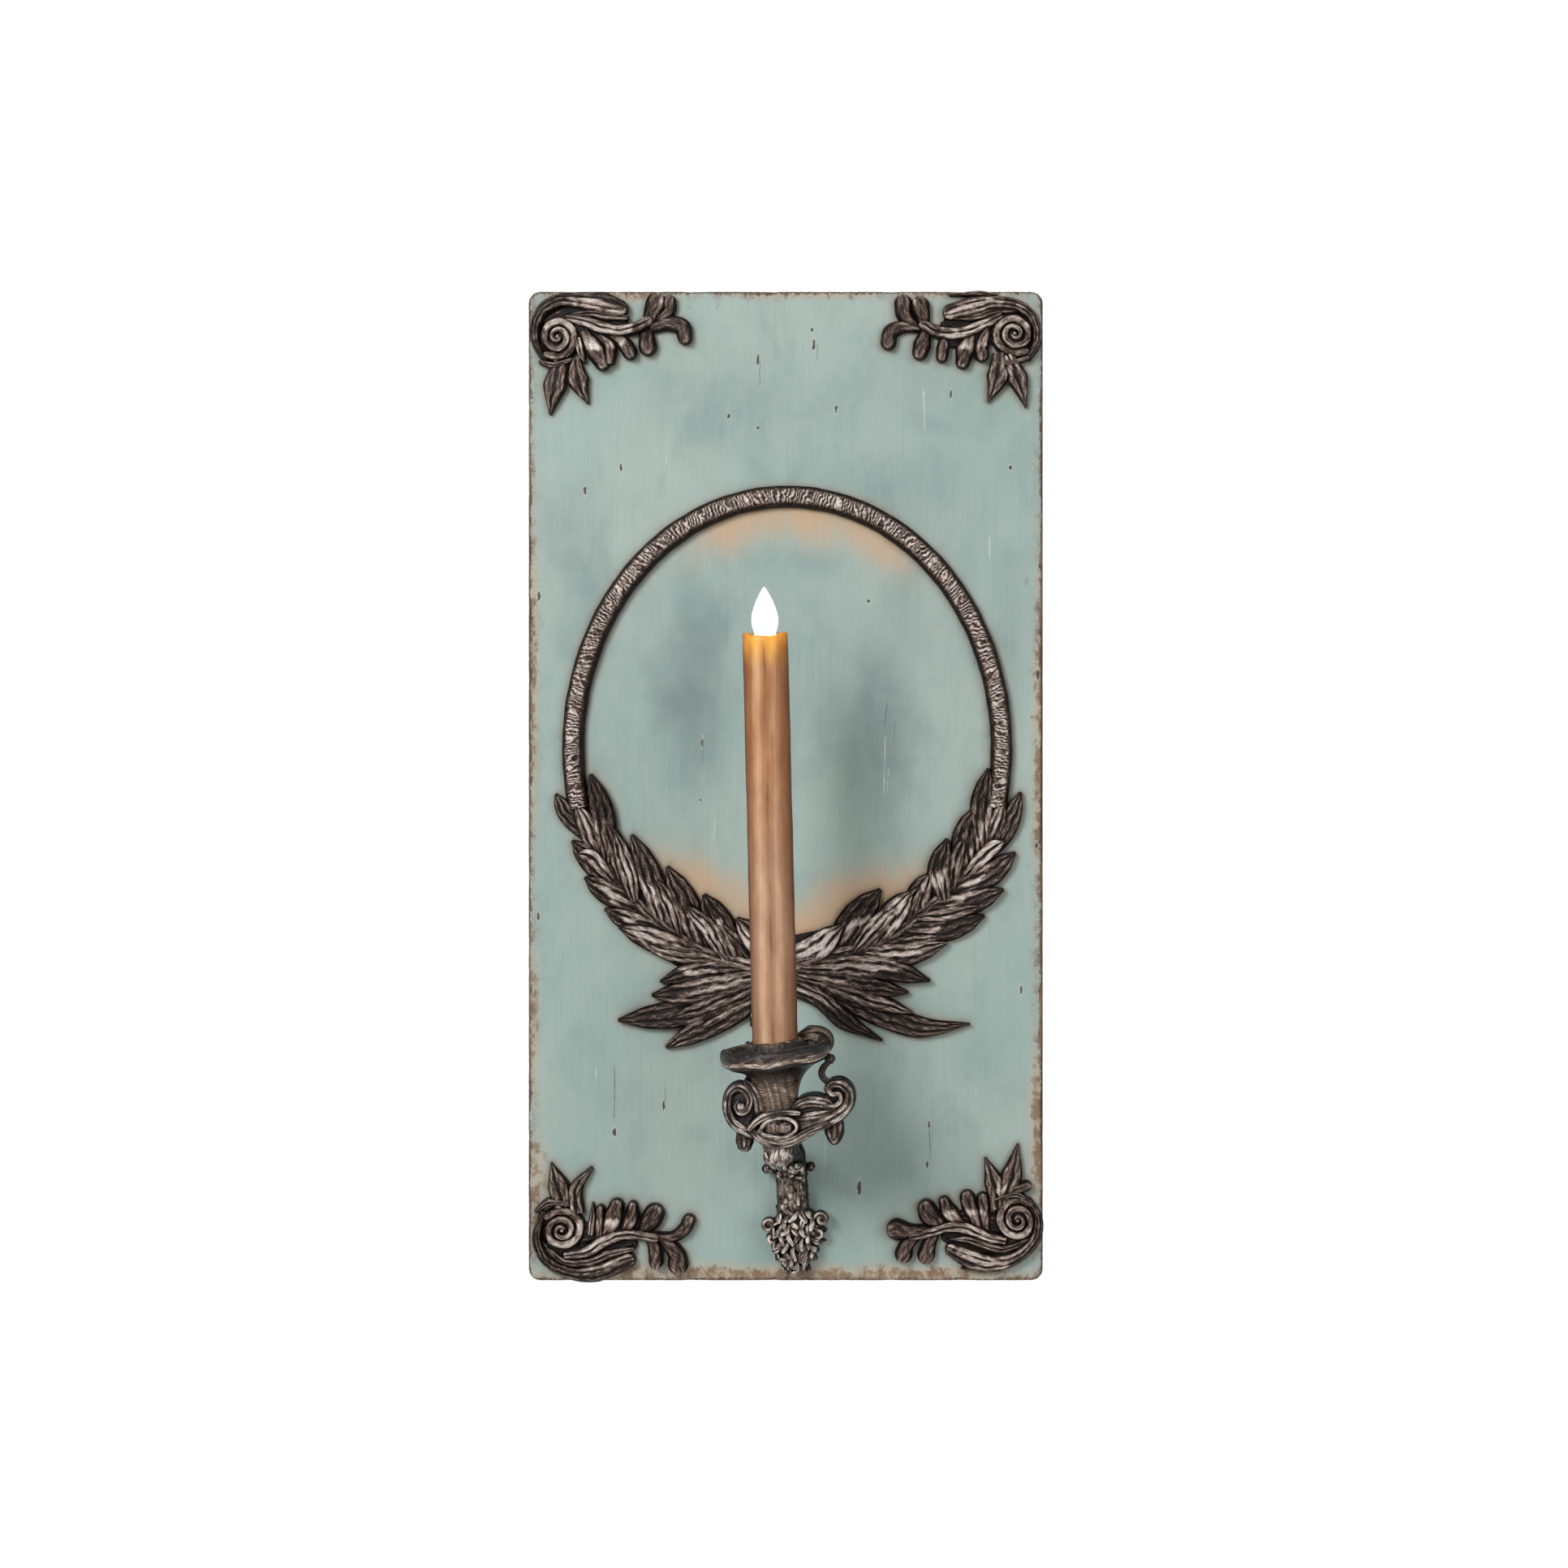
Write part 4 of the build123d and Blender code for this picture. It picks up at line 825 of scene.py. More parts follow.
# Dark cracks along the grain: (x, z, length, half width, slant).
CRACKS = [
    (-86.4, -154.0, 36, 0.30, 0.01), (73.0, -181.0, 24, 0.26, -0.05), (-41.6, 19.0, 18, 0.22, 0.03),
    (55.0, 28.0, 12, 0.2, 0.08), (-60.8, -154.0, 14, 0.2, 0.0), (-13.0, 208.0, 16, 0.2, 0.0),
    (50.6, 36.0, 16, 0.2, 0.12), (16.0, 219.0, 10, 0.2, 0.0),
]
# Pale scratches: (x, z, length, half width, slant).
SCRATCHES = [
    (50.0, 11.0, 34, 0.35, 0.02), (51.8, 3.0, 14, 0.3, 0.05), (-41.8, 22.5, 9, 0.35, 0.0),
    (-36.0, -22.0, 12, 0.25, 0.1), (70.0, 190.0, 26, 0.25, -0.03), (-60.0, 170.0, 18, 0.2, 0.05),
    (20.0, -185.0, 16, 0.25, 0.0), (-96.0, -150.0, 20, 0.25, 0.04), (103.0, 120.0, 14, 0.25, 0.0),
]


# Shallow dents in the face: (x, z, radius, depth).
DENTS = [
    (-96, 60, 5, 0.4), (118, 112, 4, 0.4), (-120, -90, 4, 0.5), (84, 170, 7, 0.25), (-40, -178, 8, 0.3),
    (92, -150, 5, 0.3),
]
# Stains beside the board's edges, and soft grey smudges, of which the first five, beside the candle, are its
# painted soft shadows: (x, z, half width, half height, strength).
STAIN_SPOTS = [
    (-126, -205, 7, 30, 0.5), (-80, 249, 30, 4, 0.6), (10, 249, 40, 3, 0.5), (90, 249, 24, 3, 0.6),
    (0, -249, 124, 7, 0.8), (-129, 60, 4, 90, 0.7), (129, 20, 4, 90, 0.7), (127, -170, 4, 40, 0.7),
    (-128, -120, 4, 40, 0.5), (118, 233, 8, 14, 0.3), (-80, -246, 24, 6, 0.6), (70, -247, 40, 5, 0.7),
]
SMUDGE_AND_SHADOW_SPOTS = [
    (-46, 50, 22, 50, 1.15), (50, 34, 18, 54, 0.9), (58, 84, 16, 30, 0.6), (40, 4, 16, 32, 0.5),
    (-34, 84, 16, 22, 0.5), (-30, 190, 48, 26, 0.4), (60, 150, 46, 24, 0.5), (50, -190, 50, 20, 0.2),
    (86, -150, 30, 34, 0.2), (-105, 110, 16, 44, 0.5), (112, 70, 10, 44, 0.5), (70, 200, 44, 26, 0.35),
    (-40, 196, 30, 16, 0.3), (-112, 130, 10, 24, 0.5), (0, 110, 60, 14, 0.3), (0, 60, 70, 60, 0.3),
]


def graded(half, fine, coarse, band):
    """Places from -half to half, closer together within band of the edges."""
    edge = np.arange(0, band, fine)
    middle = np.linspace(band, 2 * half - band, int((2 * half - 2 * band) / coarse))
    return np.concatenate([edge, middle, (2 * half - edge)[::-1]]) - half


def edge_reach(x, z):
    """How far a point on the face is inside the board's rounded outline."""
    qx = np.abs(x) - (BOARD_W / 2 - CORNER_R)
    qz = np.abs(z) - (BOARD_H / 2 - CORNER_R)
    outside = np.hypot(np.maximum(qx, 0), np.maximum(qz, 0))
    return CORNER_R - outside - np.minimum(np.maximum(qx, qz), 0)


def to_rounded(x, z):
    """Maps a point of the plain rectangle into the board's rounded outline."""
    half_w, half_h = BOARD_W / 2, BOARD_H / 2
    qx, qz = np.abs(x) - (half_w - CORNER_R), np.abs(z) - (half_h - CORNER_R)
    inside = (qx > 0) & (qz > 0)
    long = np.where(inside, np.maximum(np.hypot(qx, qz), 1e-6), 1.0)
    scale = np.where(inside, np.maximum(qx, qz) / long, 1.0)
    new_x = np.where(inside, (half_w - CORNER_R) + qx * scale, np.abs(x)) * np.sign(x)
    new_z = np.where(inside, (half_h - CORNER_R) + qz * scale, np.abs(z)) * np.sign(z)
    return new_x, new_z


def board_fields(x, z):
    """A darker brown band beside the castings, distance from them in mm, and tan patches, for each face
    point.
    """
    outline = np.vstack(outlines)
    tree = kdtree.KDTree(len(outline))
    for i, (px, pz) in enumerate(outline):
        tree.insert((px, pz, 0), i)
    tree.balance()
    away = np.array([tree.find((px, pz, 0))[2] for px, pz in zip(x, z)])
    blot = 0.5 + 0.5 * wander(x * 0.11 + 3 * wander(z, 2.0, 0.05), 5.0) * wander(z * 0.09, 1.0)
    casting_band = np.exp(-np.maximum(away - 0.3, 0) / (0.55 + 1.5 * blot ** 2)) * (0.55 + 0.45 * blot)
    # Tan patches fade down from the oval's top and up from the sprigs.
    oval = np.hypot((x - OVAL_X) / OVAL_HALF_W, (z - OVAL_Z) / OVAL_HALF_H)
    drift = 0.03 * wander(x * 0.08 + 0.02 * z, 3.0)
    high = smoothstep(0.76 + drift, 0.94 + drift, oval) * smoothstep(-62, -26, x) * smoothstep(80, 44, x)
    high = high * smoothstep(94, 116, z) * (0.9 + 0.1 * wander(x * 0.07, 2.0))
    low = smoothstep(27, 1, away + 3 * wander(x * 0.1, 6.0))
    low = low * smoothstep(-22, -52, z + 0.05 * x) * (oval < 0.96)
    tan_patch = np.where(oval < 1.0, np.maximum(high, low), 0.0)
    tan_patch = np.maximum(tan_patch, 0.3 * smoothstep(5, 0.5, away) * (0.5 + 0.5 * wander(x * 0.13 + z * 0.11, 8.0)))
    return casting_band, away, np.maximum(tan_patch, spots(x, z, STAIN_SPOTS))


def spots(x, z, shapes):
    """The strongest of several soft, ragged ovals at each point."""
    total = np.zeros_like(x)
    for cx, cz, rx, rz, strength in shapes:
        away = np.hypot((x - cx) / rx, (z - cz) / rz)
        away = away + 0.14 * wander(0.06 * x + 0.04 * z + cz, cx * 0.1)
        away = away + 0.10 * wander(0.05 * z - 0.07 * x, cz * 0.1)
        total = np.maximum(total, strength * smoothstep(1.6, 0.1, away))
    return total


def board_marks(s, paint, place, fine):
    """Wormholes, cracks and scratches over the paint. Returns the paint and how deep in a hole a point is."""
    shake = s.scaled(s.noise(place, (0.8, 0.8, 0.5), 3.0, 0.7), 2.4, -1.2)
    shaken = s.vector("ADD", place, shake)
    hole, lip = 0.0, 0.0
    for x, z, half_x, half_z in WORMHOLES:
        away = s.vector("SUBTRACT", shaken, (x, 0, z))
        far = s.vector("LENGTH", s.vector("MULTIPLY", away, (1.0 / half_x, 0.0, 1.0 / half_z)))
        hole = s.math("MAXIMUM", hole, s.below(far, 0.7, 1.15))
        lip = s.math("MAXIMUM", lip, s.below(far, 1.2, 1.9))
    paint = s.over(paint, lip, 0.28, srgb(190, 196, 186))
    paint = s.over(paint, hole, 0.92, srgb(66, 42, 34))
    for marks, colour, strength in ((SCRATCHES, srgb(204, 205, 192), 0.75), (CRACKS, srgb(80, 76, 68), 0.8)):
        for x, z, length, half, slant in marks:
            parts = s.node("ShaderNodeSeparateXYZ")
            s.feed(parts.inputs[0], s.vector("SUBTRACT", place, (x, 0, z)))
            leaning = s.scaled(parts.outputs["Z"], -slant, parts.outputs["X"])
            leaning = s.scaled(shake, 0.5, leaning)
            across = s.below(s.math("ABSOLUTE", leaning), half * 0.4, half * 1.2)
            along = s.below(s.math("ABSOLUTE", parts.outputs["Z"]), length * 0.3, length * 0.5)
            broken = s.times(s.step(fine, 0.36, 0.5), strength)
            paint = s.mix(s.times(s.times(across, along), broken), paint, colour)
    return paint, hole


def board_material():
    """Worn teal paint over brown wood: faint upright grain, a brown band beside the castings, stains and tan
    patches, the candle's painted soft shadows, and rubbed edges with painted shade on their rounding.
    """
    s = Shader("teal_paint")
    place = s.place()
    casting_band, tan_patch, smudge_and_shadow, reach = [s.attribute(field) for field in ("casting_band", "tan_patch", "smudge_and_shadow", "reach")]
    broad = s.noise(place, (0.012, 0.012, 0.01), 4.0, 0.6)
    cloud = s.noise(place, (0.045, 0.045, 0.03), 5.0, 0.6, 0.4)
    grain = s.noise(place, (0.55, 0.55, 0.02), 4.0, 0.6)
    fine = s.noise(place, (1.5, 1.5, 0.06), 3.0, 0.6)
    speck = s.noise(place, (0.9, 0.9, 0.9), 2.0, 0.5)
    mottle = s.noise(place, (0.16, 0.16, 0.13), 5.0, 0.7, 0.3)

    # The paint itself: cloudy teal with faint upright grain, grey smudges with the candle's painted soft
    # shadows among them, and tan patches.
    paint = s.ramp(broad, (0.3, 0.5, 0.72), [(143, 163, 157), (151, 168, 162), (158, 172, 165)])
    paint = s.over(paint, s.step(cloud, 0.42, 0.72), 0.4, srgb(126, 146, 142))
    paint = s.over(paint, s.step(grain, 0.52, 0.75), 0.22, srgb(122, 140, 136))
    paint = s.over(paint, s.step(fine, 0.56, 0.78), 0.2, srgb(183, 193, 183))
    # Grey smudges; those beside the candle are its painted soft shadows.
    greyed = s.times(smudge_and_shadow, s.scaled(cloud, 0.7, 0.35))
    paint = s.over(paint, greyed, 0.7, srgb(96, 114, 113))
    tanned = s.times(tan_patch, s.scaled(cloud, 0.5, 0.72), clamp=True)
    paint = s.over(paint, tanned, 0.95, srgb(188, 157, 126))

    # Brown dirt gathers by the edges, and a darker brown band lies beside the castings.
    rust = s.times(s.step(s.scaled(tan_patch, 0.35, mottle), 0.62, 0.78), s.below(reach, 5.0, 12.0))
    paint = s.over(paint, rust, 0.8, srgb(112, 78, 54))
    halo = s.times(casting_band, s.scaled(cloud, 0.9, 0.35), clamp=True)
    paint = s.over(paint, halo, 0.8, srgb(98, 78, 62))
    ragged = s.scaled(s.noise(place, (0.09, 0.09, 0.05), 5.0, 0.65), 13.0, -6.4)
    near = s.plus(reach, ragged)
    paint = s.over(paint, s.below(near, -1.0, 7.0), 0.55, srgb(150, 142, 126))
    chips = s.step(s.scaled(speck, 0.45, mottle), 0.72, 0.80)
    paint = s.over(paint, s.times(s.below(near, -2.0, 6.5), chips), 0.85, srgb(98, 74, 58))

    # The edges are rubbed down to the wood, darkened along the rounding as painted shade, and flakes are gone
    # all over.
    tiny = s.scaled(s.noise(place, (0.5, 0.5, 0.22), 4.0, 0.7), 5.0, -2.5)
    bare_edge_and_shade = s.below(s.plus(s.scaled(ragged, 0.25, tiny), reach), 0.8, 1.9)
    wood = s.ramp(grain, (0.3, 0.5, 0.7), [(50, 34, 26), (82, 60, 47), (128, 104, 82)])
    paint = s.over(paint, bare_edge_and_shade, 0.92, wood)
    paint = s.over(paint, s.step(speck, 0.74, 0.8), 0.5, srgb(112, 98, 80))
    paint, hole = board_marks(s, paint, place, fine)

    s.set(Base_Color=paint, Roughness=s.scaled(cloud, 0.25, 0.5))
    s.surface.inputs["Specular IOR Level"].default_value = 0.3
    height = s.scaled(grain, 1.0, s.times(speck, 0.3))
    height = s.less(height, s.times(hole, 3.0))
    height = s.less(height, s.times(bare_edge_and_shade, 0.5))
    s.bump(height, 0.5, 0.0004)
    return s.material


def board_front():
    """The board's front: a worn, faintly uneven face with softened edges, down to part of its depth."""
    half_w, half_h = BOARD_W / 2, BOARD_H / 2
    xs, zs = [graded(half, 0.42, 1.35, 8.0) for half in (half_w, half_h)]
    flat_x, flat_z = np.meshgrid(xs, zs, indexing="ij")
    x, z = to_rounded(flat_x, flat_z)
    x, z = x.ravel(), z.ravel()
    reach = edge_reach(x, z)
    casting_band, away, tan_patch = board_fields(x, z)

    # The edge's rounding grows and shrinks along it, with a few bigger knocks.
    along = np.where(np.abs(x) / half_w > np.abs(z) / half_h, z + 700, x)
    knocks = np.maximum(wander(along, 7.0, 0.21) - 0.55, 0)
    soft = EDGE_R + 0.9 * np.maximum(wander(along, 3.0, 0.09), 0) + 1.8 * knocks
    soft = soft + 0.3 * wander(along, 9.0, 0.8)
    inside = np.clip(reach / soft, 0, 1)
    drop = soft * (1 - np.sqrt(np.maximum(1 - (1 - inside) ** 2, 0)))
    face = 0.10 * wander(x, 3.0, 0.21) + 0.09 * wander(x + 0.05 * z, 8.0, 0.6) + 0.08 * wander(z, 6.0, 0.05)
    low = 0.14 + 0.10 * face * smoothstep(0.0, 3.0, away)
    for cx, cz, r, deep in DENTS:
        low = low + deep * np.exp(-((x - cx) ** 2 + (z - cz) ** 2) / (r * r))
    low = np.maximum(low * smoothstep(0.0, 1.0, away) + 0.02, 0.0) + drop
    points = np.column_stack([x * MM, FACE_Y + low * MM, z * MM])
    nx, nz = len(xs), len(zs)
    i, j = np.meshgrid(np.arange(nx - 1), np.arange(nz - 1), indexing="ij")
    a = (i * nz + j).ravel()
    faces = np.column_stack([a, a + 1, a + nz + 1, a + nz]).tolist()

    # The side wall: rings below the rim, each a little worn in, and a flat end.
    rim = list(range(nz)) + [k * nz + nz - 1 for k in range(1, nx)]
    rim += [(nx - 1) * nz + k for k in range(nz - 2, -1, -1)] + [k * nz for k in range(nx - 2, 0, -1)]
    fields = {"casting_band": casting_band, "tan_patch": tan_patch, "smudge_and_shadow": spots(x, z, SMUDGE_AND_SHADOW_SPOTS),
              "reach": np.minimum(reach, FULL_REACH)}
    edge = points[rim]
    row = np.array(rim)
    for k, level in enumerate((2.6, 4.5, FRONT_DEPTH)):
        ring = edge.copy()
        dip = 0.25 * np.maximum(wander(np.arange(len(rim)), 4.0 + k, 0.11), 0)[:, None]
        outward = np.zeros(ring.shape)
        for axis, half in ((0, half_w), (2, half_h)):
            outward[:, axis] = np.sign(ring[:, axis]) * (np.abs(ring[:, axis]) > (half - 3) * MM)
        ring = ring - outward * dip * MM
        ring[:, 1] = np.maximum(FACE_Y + level * MM, edge[:, 1])
        below = np.arange(len(rim)) + len(points)
        points = np.vstack([points, ring])
        faces += np.column_stack([row, below, np.roll(below, -1), np.roll(row, -1)]).tolist()
        row = below
    faces.append(row[::-1].tolist())
    for name, values in fields.items():
        on_wall = WALL_REACH if name == "reach" else 0.0
        fields[name] = np.concatenate([values, np.full(len(points) - nx * nz, on_wall)])
    return points, faces, fields


def board_piece():
    """The worn front, joined to the back half of the board's own CAD mesh with its holes and pockets."""
    points, faces, fields = board_front()
    mesh = bpy.data.meshes.new("board")
    mesh.from_pydata(points.tolist(), [], faces)
    for name, values in fields.items():
        add_field(mesh, name, values)
    back = bmesh.new()
    back.from_mesh(frame["nodes"]["back_board"].data)
    cut = bmesh.ops.bisect_plane(back, geom=back.verts[:] + back.edges[:] + back.faces[:], dist=1e-7,
                                 plane_co=(0, FACE_Y + FRONT_DEPTH * MM, 0), plane_no=(0, 1, 0),
                                 clear_inner=True)
    rim = [e for e in cut["geom_cut"] if isinstance(e, bmesh.types.BMEdge)]
    bmesh.ops.triangle_fill(back, edges=rim, use_beauty=True)
    reach = back.verts.layers.float.new("reach")
    for v in back.verts:
        inside = float(edge_reach(np.array(v.co.x / MM), np.array(v.co.z / MM)))
        v[reach] = WALL_REACH if inside < 1 else min(inside, FULL_REACH)
    whole = bmesh.new()
    whole.from_mesh(mesh)
    spare = bpy.data.meshes.new("board_back")
    back.to_mesh(spare)
    whole.from_mesh(spare)
    whole.to_mesh(mesh)
    whole.free()
    back.free()
    make_object("worn_board", mesh, board_material(), "plaque", ("back_board",))


board_piece()


# ---------------------------------------------------------------- the arm
def tube(carving, path, halves, lumps, seed, streaks=8, spacing=0.8, around=44, relief=0.5, side=(1, 0, 0)):
    """A column along a path of (x, d, s), with (half width, half depth) at each point and a barky surface."""
    line, place, want = even(path, spacing)
    rx, rd = [spread(half, place, len(halves) - 1) for half in zip(*halves)]
    ahead = np.gradient(line, axis=0)
    ahead = ahead / np.linalg.norm(ahead, axis=1)[:, None]
    side = np.array(side, dtype=float)
    out = np.cross(side, ahead)
    out = out / np.linalg.norm(out, axis=1)[:, None]
    angle = np.linspace(0, 2 * math.pi, around, endpoint=False)[None, :]
    s = want[:, None]
    bark = np.abs(wander(streaks * angle * 0.5 + 0.25 * wander(s, seed, 0.5), seed)) * 1.6
    knots = wander(s * 0.62 + 2.2 * np.cos(angle), seed + 1) * wander(3 * angle + 0.3 * s, seed + 2)
    grow = lumps * (0.9 * (bark - 0.5) + 1.3 * knots)
    ca, sa = np.cos(angle), np.sin(angle)
    points = (line[:, None, :] + side * ((rx[:, None] + grow) * ca)[..., None]
              + out[:, None, :] * ((rd[:, None] + grow) * sa)[..., None])
    # The paint darkens toward the column's sides, as painted shade where it turns away.
    shade = np.clip(relief + 0.32 * (bark - 0.5) + 0.5 * knots - 0.3 * np.abs(ca) ** 3, 0, 1)
    flow = np.stack(np.broadcast_arrays(s, angle * rx.mean(), np.full_like(grow, seed)), axis=-1)
    carving.loft(placed(on_arm, *np.moveaxis(points, -1, 0)), shade, flow)


def turned(carving, profile, lumps=0.0, seed=0.0, around=96, relief=0.4, shape=None):
    """A turned piece about the candle's axis: profile is (r, s), and shape may move each point."""
    profile = np.asarray(profile, dtype=float)
    angle = np.linspace(0, 2 * math.pi, around, endpoint=False)[None, :]
    r, s = profile[:, 0][:, None], profile[:, 1][:, None]
    grow = lumps * wander(3 * np.cos(angle) + 2 * np.sin(2 * angle) + s * 0.21, seed)
    r = np.maximum(r + grow * (r > 2), 0.02)
    x = r * np.cos(angle)
    d = r * np.sin(angle)
    s = s + np.zeros_like(x)
    if shape:
        x, d, s = shape(x, d, s, angle)
    if np.ndim(relief):
        relief = np.asarray(relief)[:, None]
    ripple = 0.16 * wander(5 * np.cos(angle) + 3 * np.sin(2 * angle) + 0.2 * s, seed + 5)
    shade = np.clip(relief + grow * 0.35 + ripple, 0, 1)
    flow = np.stack(np.broadcast_arrays(angle * 14.0, s, np.full_like(x, seed)), axis=-1)
    carving.loft(placed(on_arm, x, d + AXIS_D, s), shade, flow)


def bud_half(s):
    """The bud's half width at height s: it swells below the column and closes in a blunt point."""
    return float(np.interp(s, [-15.4, -14.6, -12.8, -8.6, -2.4, 4, 9, 13, 17, 20],
                           [0.4, 2.4, 4.7, 8.3, 11.6, 12.9, 12.6, 10.6, 7.6, 5.0]))


def on_bud(x, h, s):
    """A point h mm outside the bud."""
    half = max(bud_half(s), 0.5)
    inside = max(1 - ((x - BUD_X) / half) ** 2, 0.0)
    deep = BUD_DEEP * min(half / 10.5, 1.0) ** 0.6
    return on_arm(x, BUD_D + deep * inside ** 0.5 + h, s)


def column_front(s):
    """How far out the column's front is at height s."""
    return float(np.interp(s, [2, 12, 22, 36, 40, 42, 45, 47.5, 50],
                           [12.4, 13.0, 12.7, 13.8, 19, 28, 43, 60, 70]))


def on_column(x, h, s):
    """A point h mm off the column's front, which falls away to its sides, or off its elbow's underside."""
    fall = 6.0 * (1 - max(1 - ((x - 2.6) / 9.6) ** 2, 0.0) ** 0.5)
    under = float(smoothstep(37, 42, s))
    return on_arm(x, column_front(s) + (h - fall) * (1 - under), s - (h - fall) * under)


def beside_column(x, h, s):
    """A point beside the column, further out the higher it is."""
    return on_arm(x, 9.0 + 0.8 * (s - 40) + h, s)


def on_elbow(x, h, s):
    """A point h mm off the front of the elbow, below the cradle."""
    round_x = max(1 - ((x - 0.6) / 7.8) ** 2, 0.0) ** 0.5
    front = float(np.interp(s, [50, 53, 57, 62], [67.0, 75.0, 78.6, 79.4]))
    return on_arm(x, front - 7.4 * (1 - round_x) + h, s)


def bud_leaves(carving):
    """The bud's body, and over it rows of small curled leaves, each row half a leaf out of step."""
    rings = []
    for s in np.linspace(-15.2, 19, 26):
        ring = []
        for a in np.linspace(0, 2 * math.pi, 28, endpoint=False):
            sunk = -0.6 + 3.0 * min(math.sin(a), 0.0)
            ring.append(on_bud(BUD_X + bud_half(s) * 0.97 * math.cos(a), sunk, s))
        rings.append(ring)
    rings = np.array(rings)
    carving.loft(rings, np.full(rings.shape[:2], 0.12), rings / MM)
    for row in range(9):
        s = -12.6 + 3.5 * row
        half = bud_half(s)
        count = max(round(half * 2 / 4.3), 2)
        for k in range(count + 1):
            x = BUD_X + half * 0.94 * (2 * (k + 0.5 * (row % 2)) / count - 1)
            if abs(x - BUD_X) > half:
                continue
            seed = row * 5.1 + k * 2.3
            turn = math.radians(-90 + 42 * math.sin(seed * 1.9) + (x - BUD_X) * 2.6)
            long = 3.1 + 0.9 * math.sin(seed * 2.3)
            hook = 0.9 * math.sin(seed * 3.1)
            ax, az = math.cos(turn), math.sin(turn)
            points = [(x - ax * long, s - az * long), (x - az * hook, s + ax * hook),
                      (x + ax * long, s + az * long)]
            tall = 1.7 + 0.8 * math.sin(seed * 1.3)
            ridges = 2 if k % 3 == 0 else 1
            band(carving, on_bud, points, [1.6, 3.5, 2.3], [0.8, tall, tall + 0.9], ridges, 0.4, 11, seed,
                 spacing=0.6, shine=1.3)


def column_crust(carving):
    """Small buds crowd the column's middle and the middle of its lower half."""
    for k in range(78):
        upper = k < 34
        at = (k * GOLDEN_STEP) % 1
        s = 33.5 + 11.0 * at if upper else 15 + 18 * at
        x = 2.4 + (6.2 if upper else 4.2) * math.sin(GOLDEN_ANGLE * k)
        size = 0.9 + 0.8 * ((k * 0.371) % 1)
        tall = 1.0 + 1.2 * ((k * 0.217) % 1)
        front = column_front(s) - 6.4 * (1 - max(1 - ((x - 2.2) / 8.6) ** 2, 0.0) ** 0.5)
        blob(carving, (x, front - 0.3, s), (size * 0.9, size * 0.9, size * tall), on_arm, k * 1.3, 0.42, 0.16,
             8, 12)


def flower(carving, x, s):
    """Six petals and a heart on the column's front."""
    for k in range(6):
        a = math.radians(60 * k + 20)
        points = [(x + 1.2 * math.cos(a), s + 1.2 * math.sin(a)),
                  (x + 3.0 * math.cos(a), s + 3.0 * math.sin(a)),
                  (x + 4.9 * math.cos(a + 0.2), s + 4.6 * math.sin(a + 0.2))]
        stroke(carving, points, [1.4, 2.8, 1.2], [0.9, 1.6, 1.0], 1, 0.4, 0.1, "round round", 9, 0.6, k * 2.7,
               where=on_column)
    blob(carving, (x, 15.6, s), (1.7, 1.5, 1.7), on_arm, 3.0, 0.75)


# The arm's middle line (x, d, s), from the board out to the hub, and its half width and half depth there.
ARM_PATH = [
    (2.6, 4.0, 2), (2.4, 5.2, 14), (2.2, 6.0, 24), (2.0, 6.8, 32), (2.0, 8.8, 40), (1.4, 20, 47),
    (1.0, 42, 51.5), (0.8, 60, 54), (0.4, 70.5, 57.5), (0.2, 72.0, 64.0),
]
ARM_HALVES = [
    (7.8, 8.0), (7.8, 6.8), (7.8, 6.4), (7.8, 6.6), (7.8, 7.2), (7.0, 6.4), (6.2, 5.8), (6.2, 6.0),
    (6.8, 7.0), (7.8, 8.0),
]


# The side curls: (x, s, radius, which way it winds, start in degrees).
SIDE_CURLS = [
    (-10.0, 10.0, 3.8, 1, 20), (16.4, 12.6, 3.8, -1, 160), (-8.4, 3.6, 2.8, -1, 60), (14.8, 5.4, 2.9, 1, 120),
]
# Narrow leaves on the column: (x, s, lean, length).
COLUMN_LEAVES = [
    (5.4, 25, 0.5, 8), (-3.2, 44, 0.6, 10), (-0.6, 44, -0.5, 11), (2.2, 44.5, 0.4, 11), (5.0, 44, 0.6, 10),
    (7.6, 44, 0.5, 10),
]


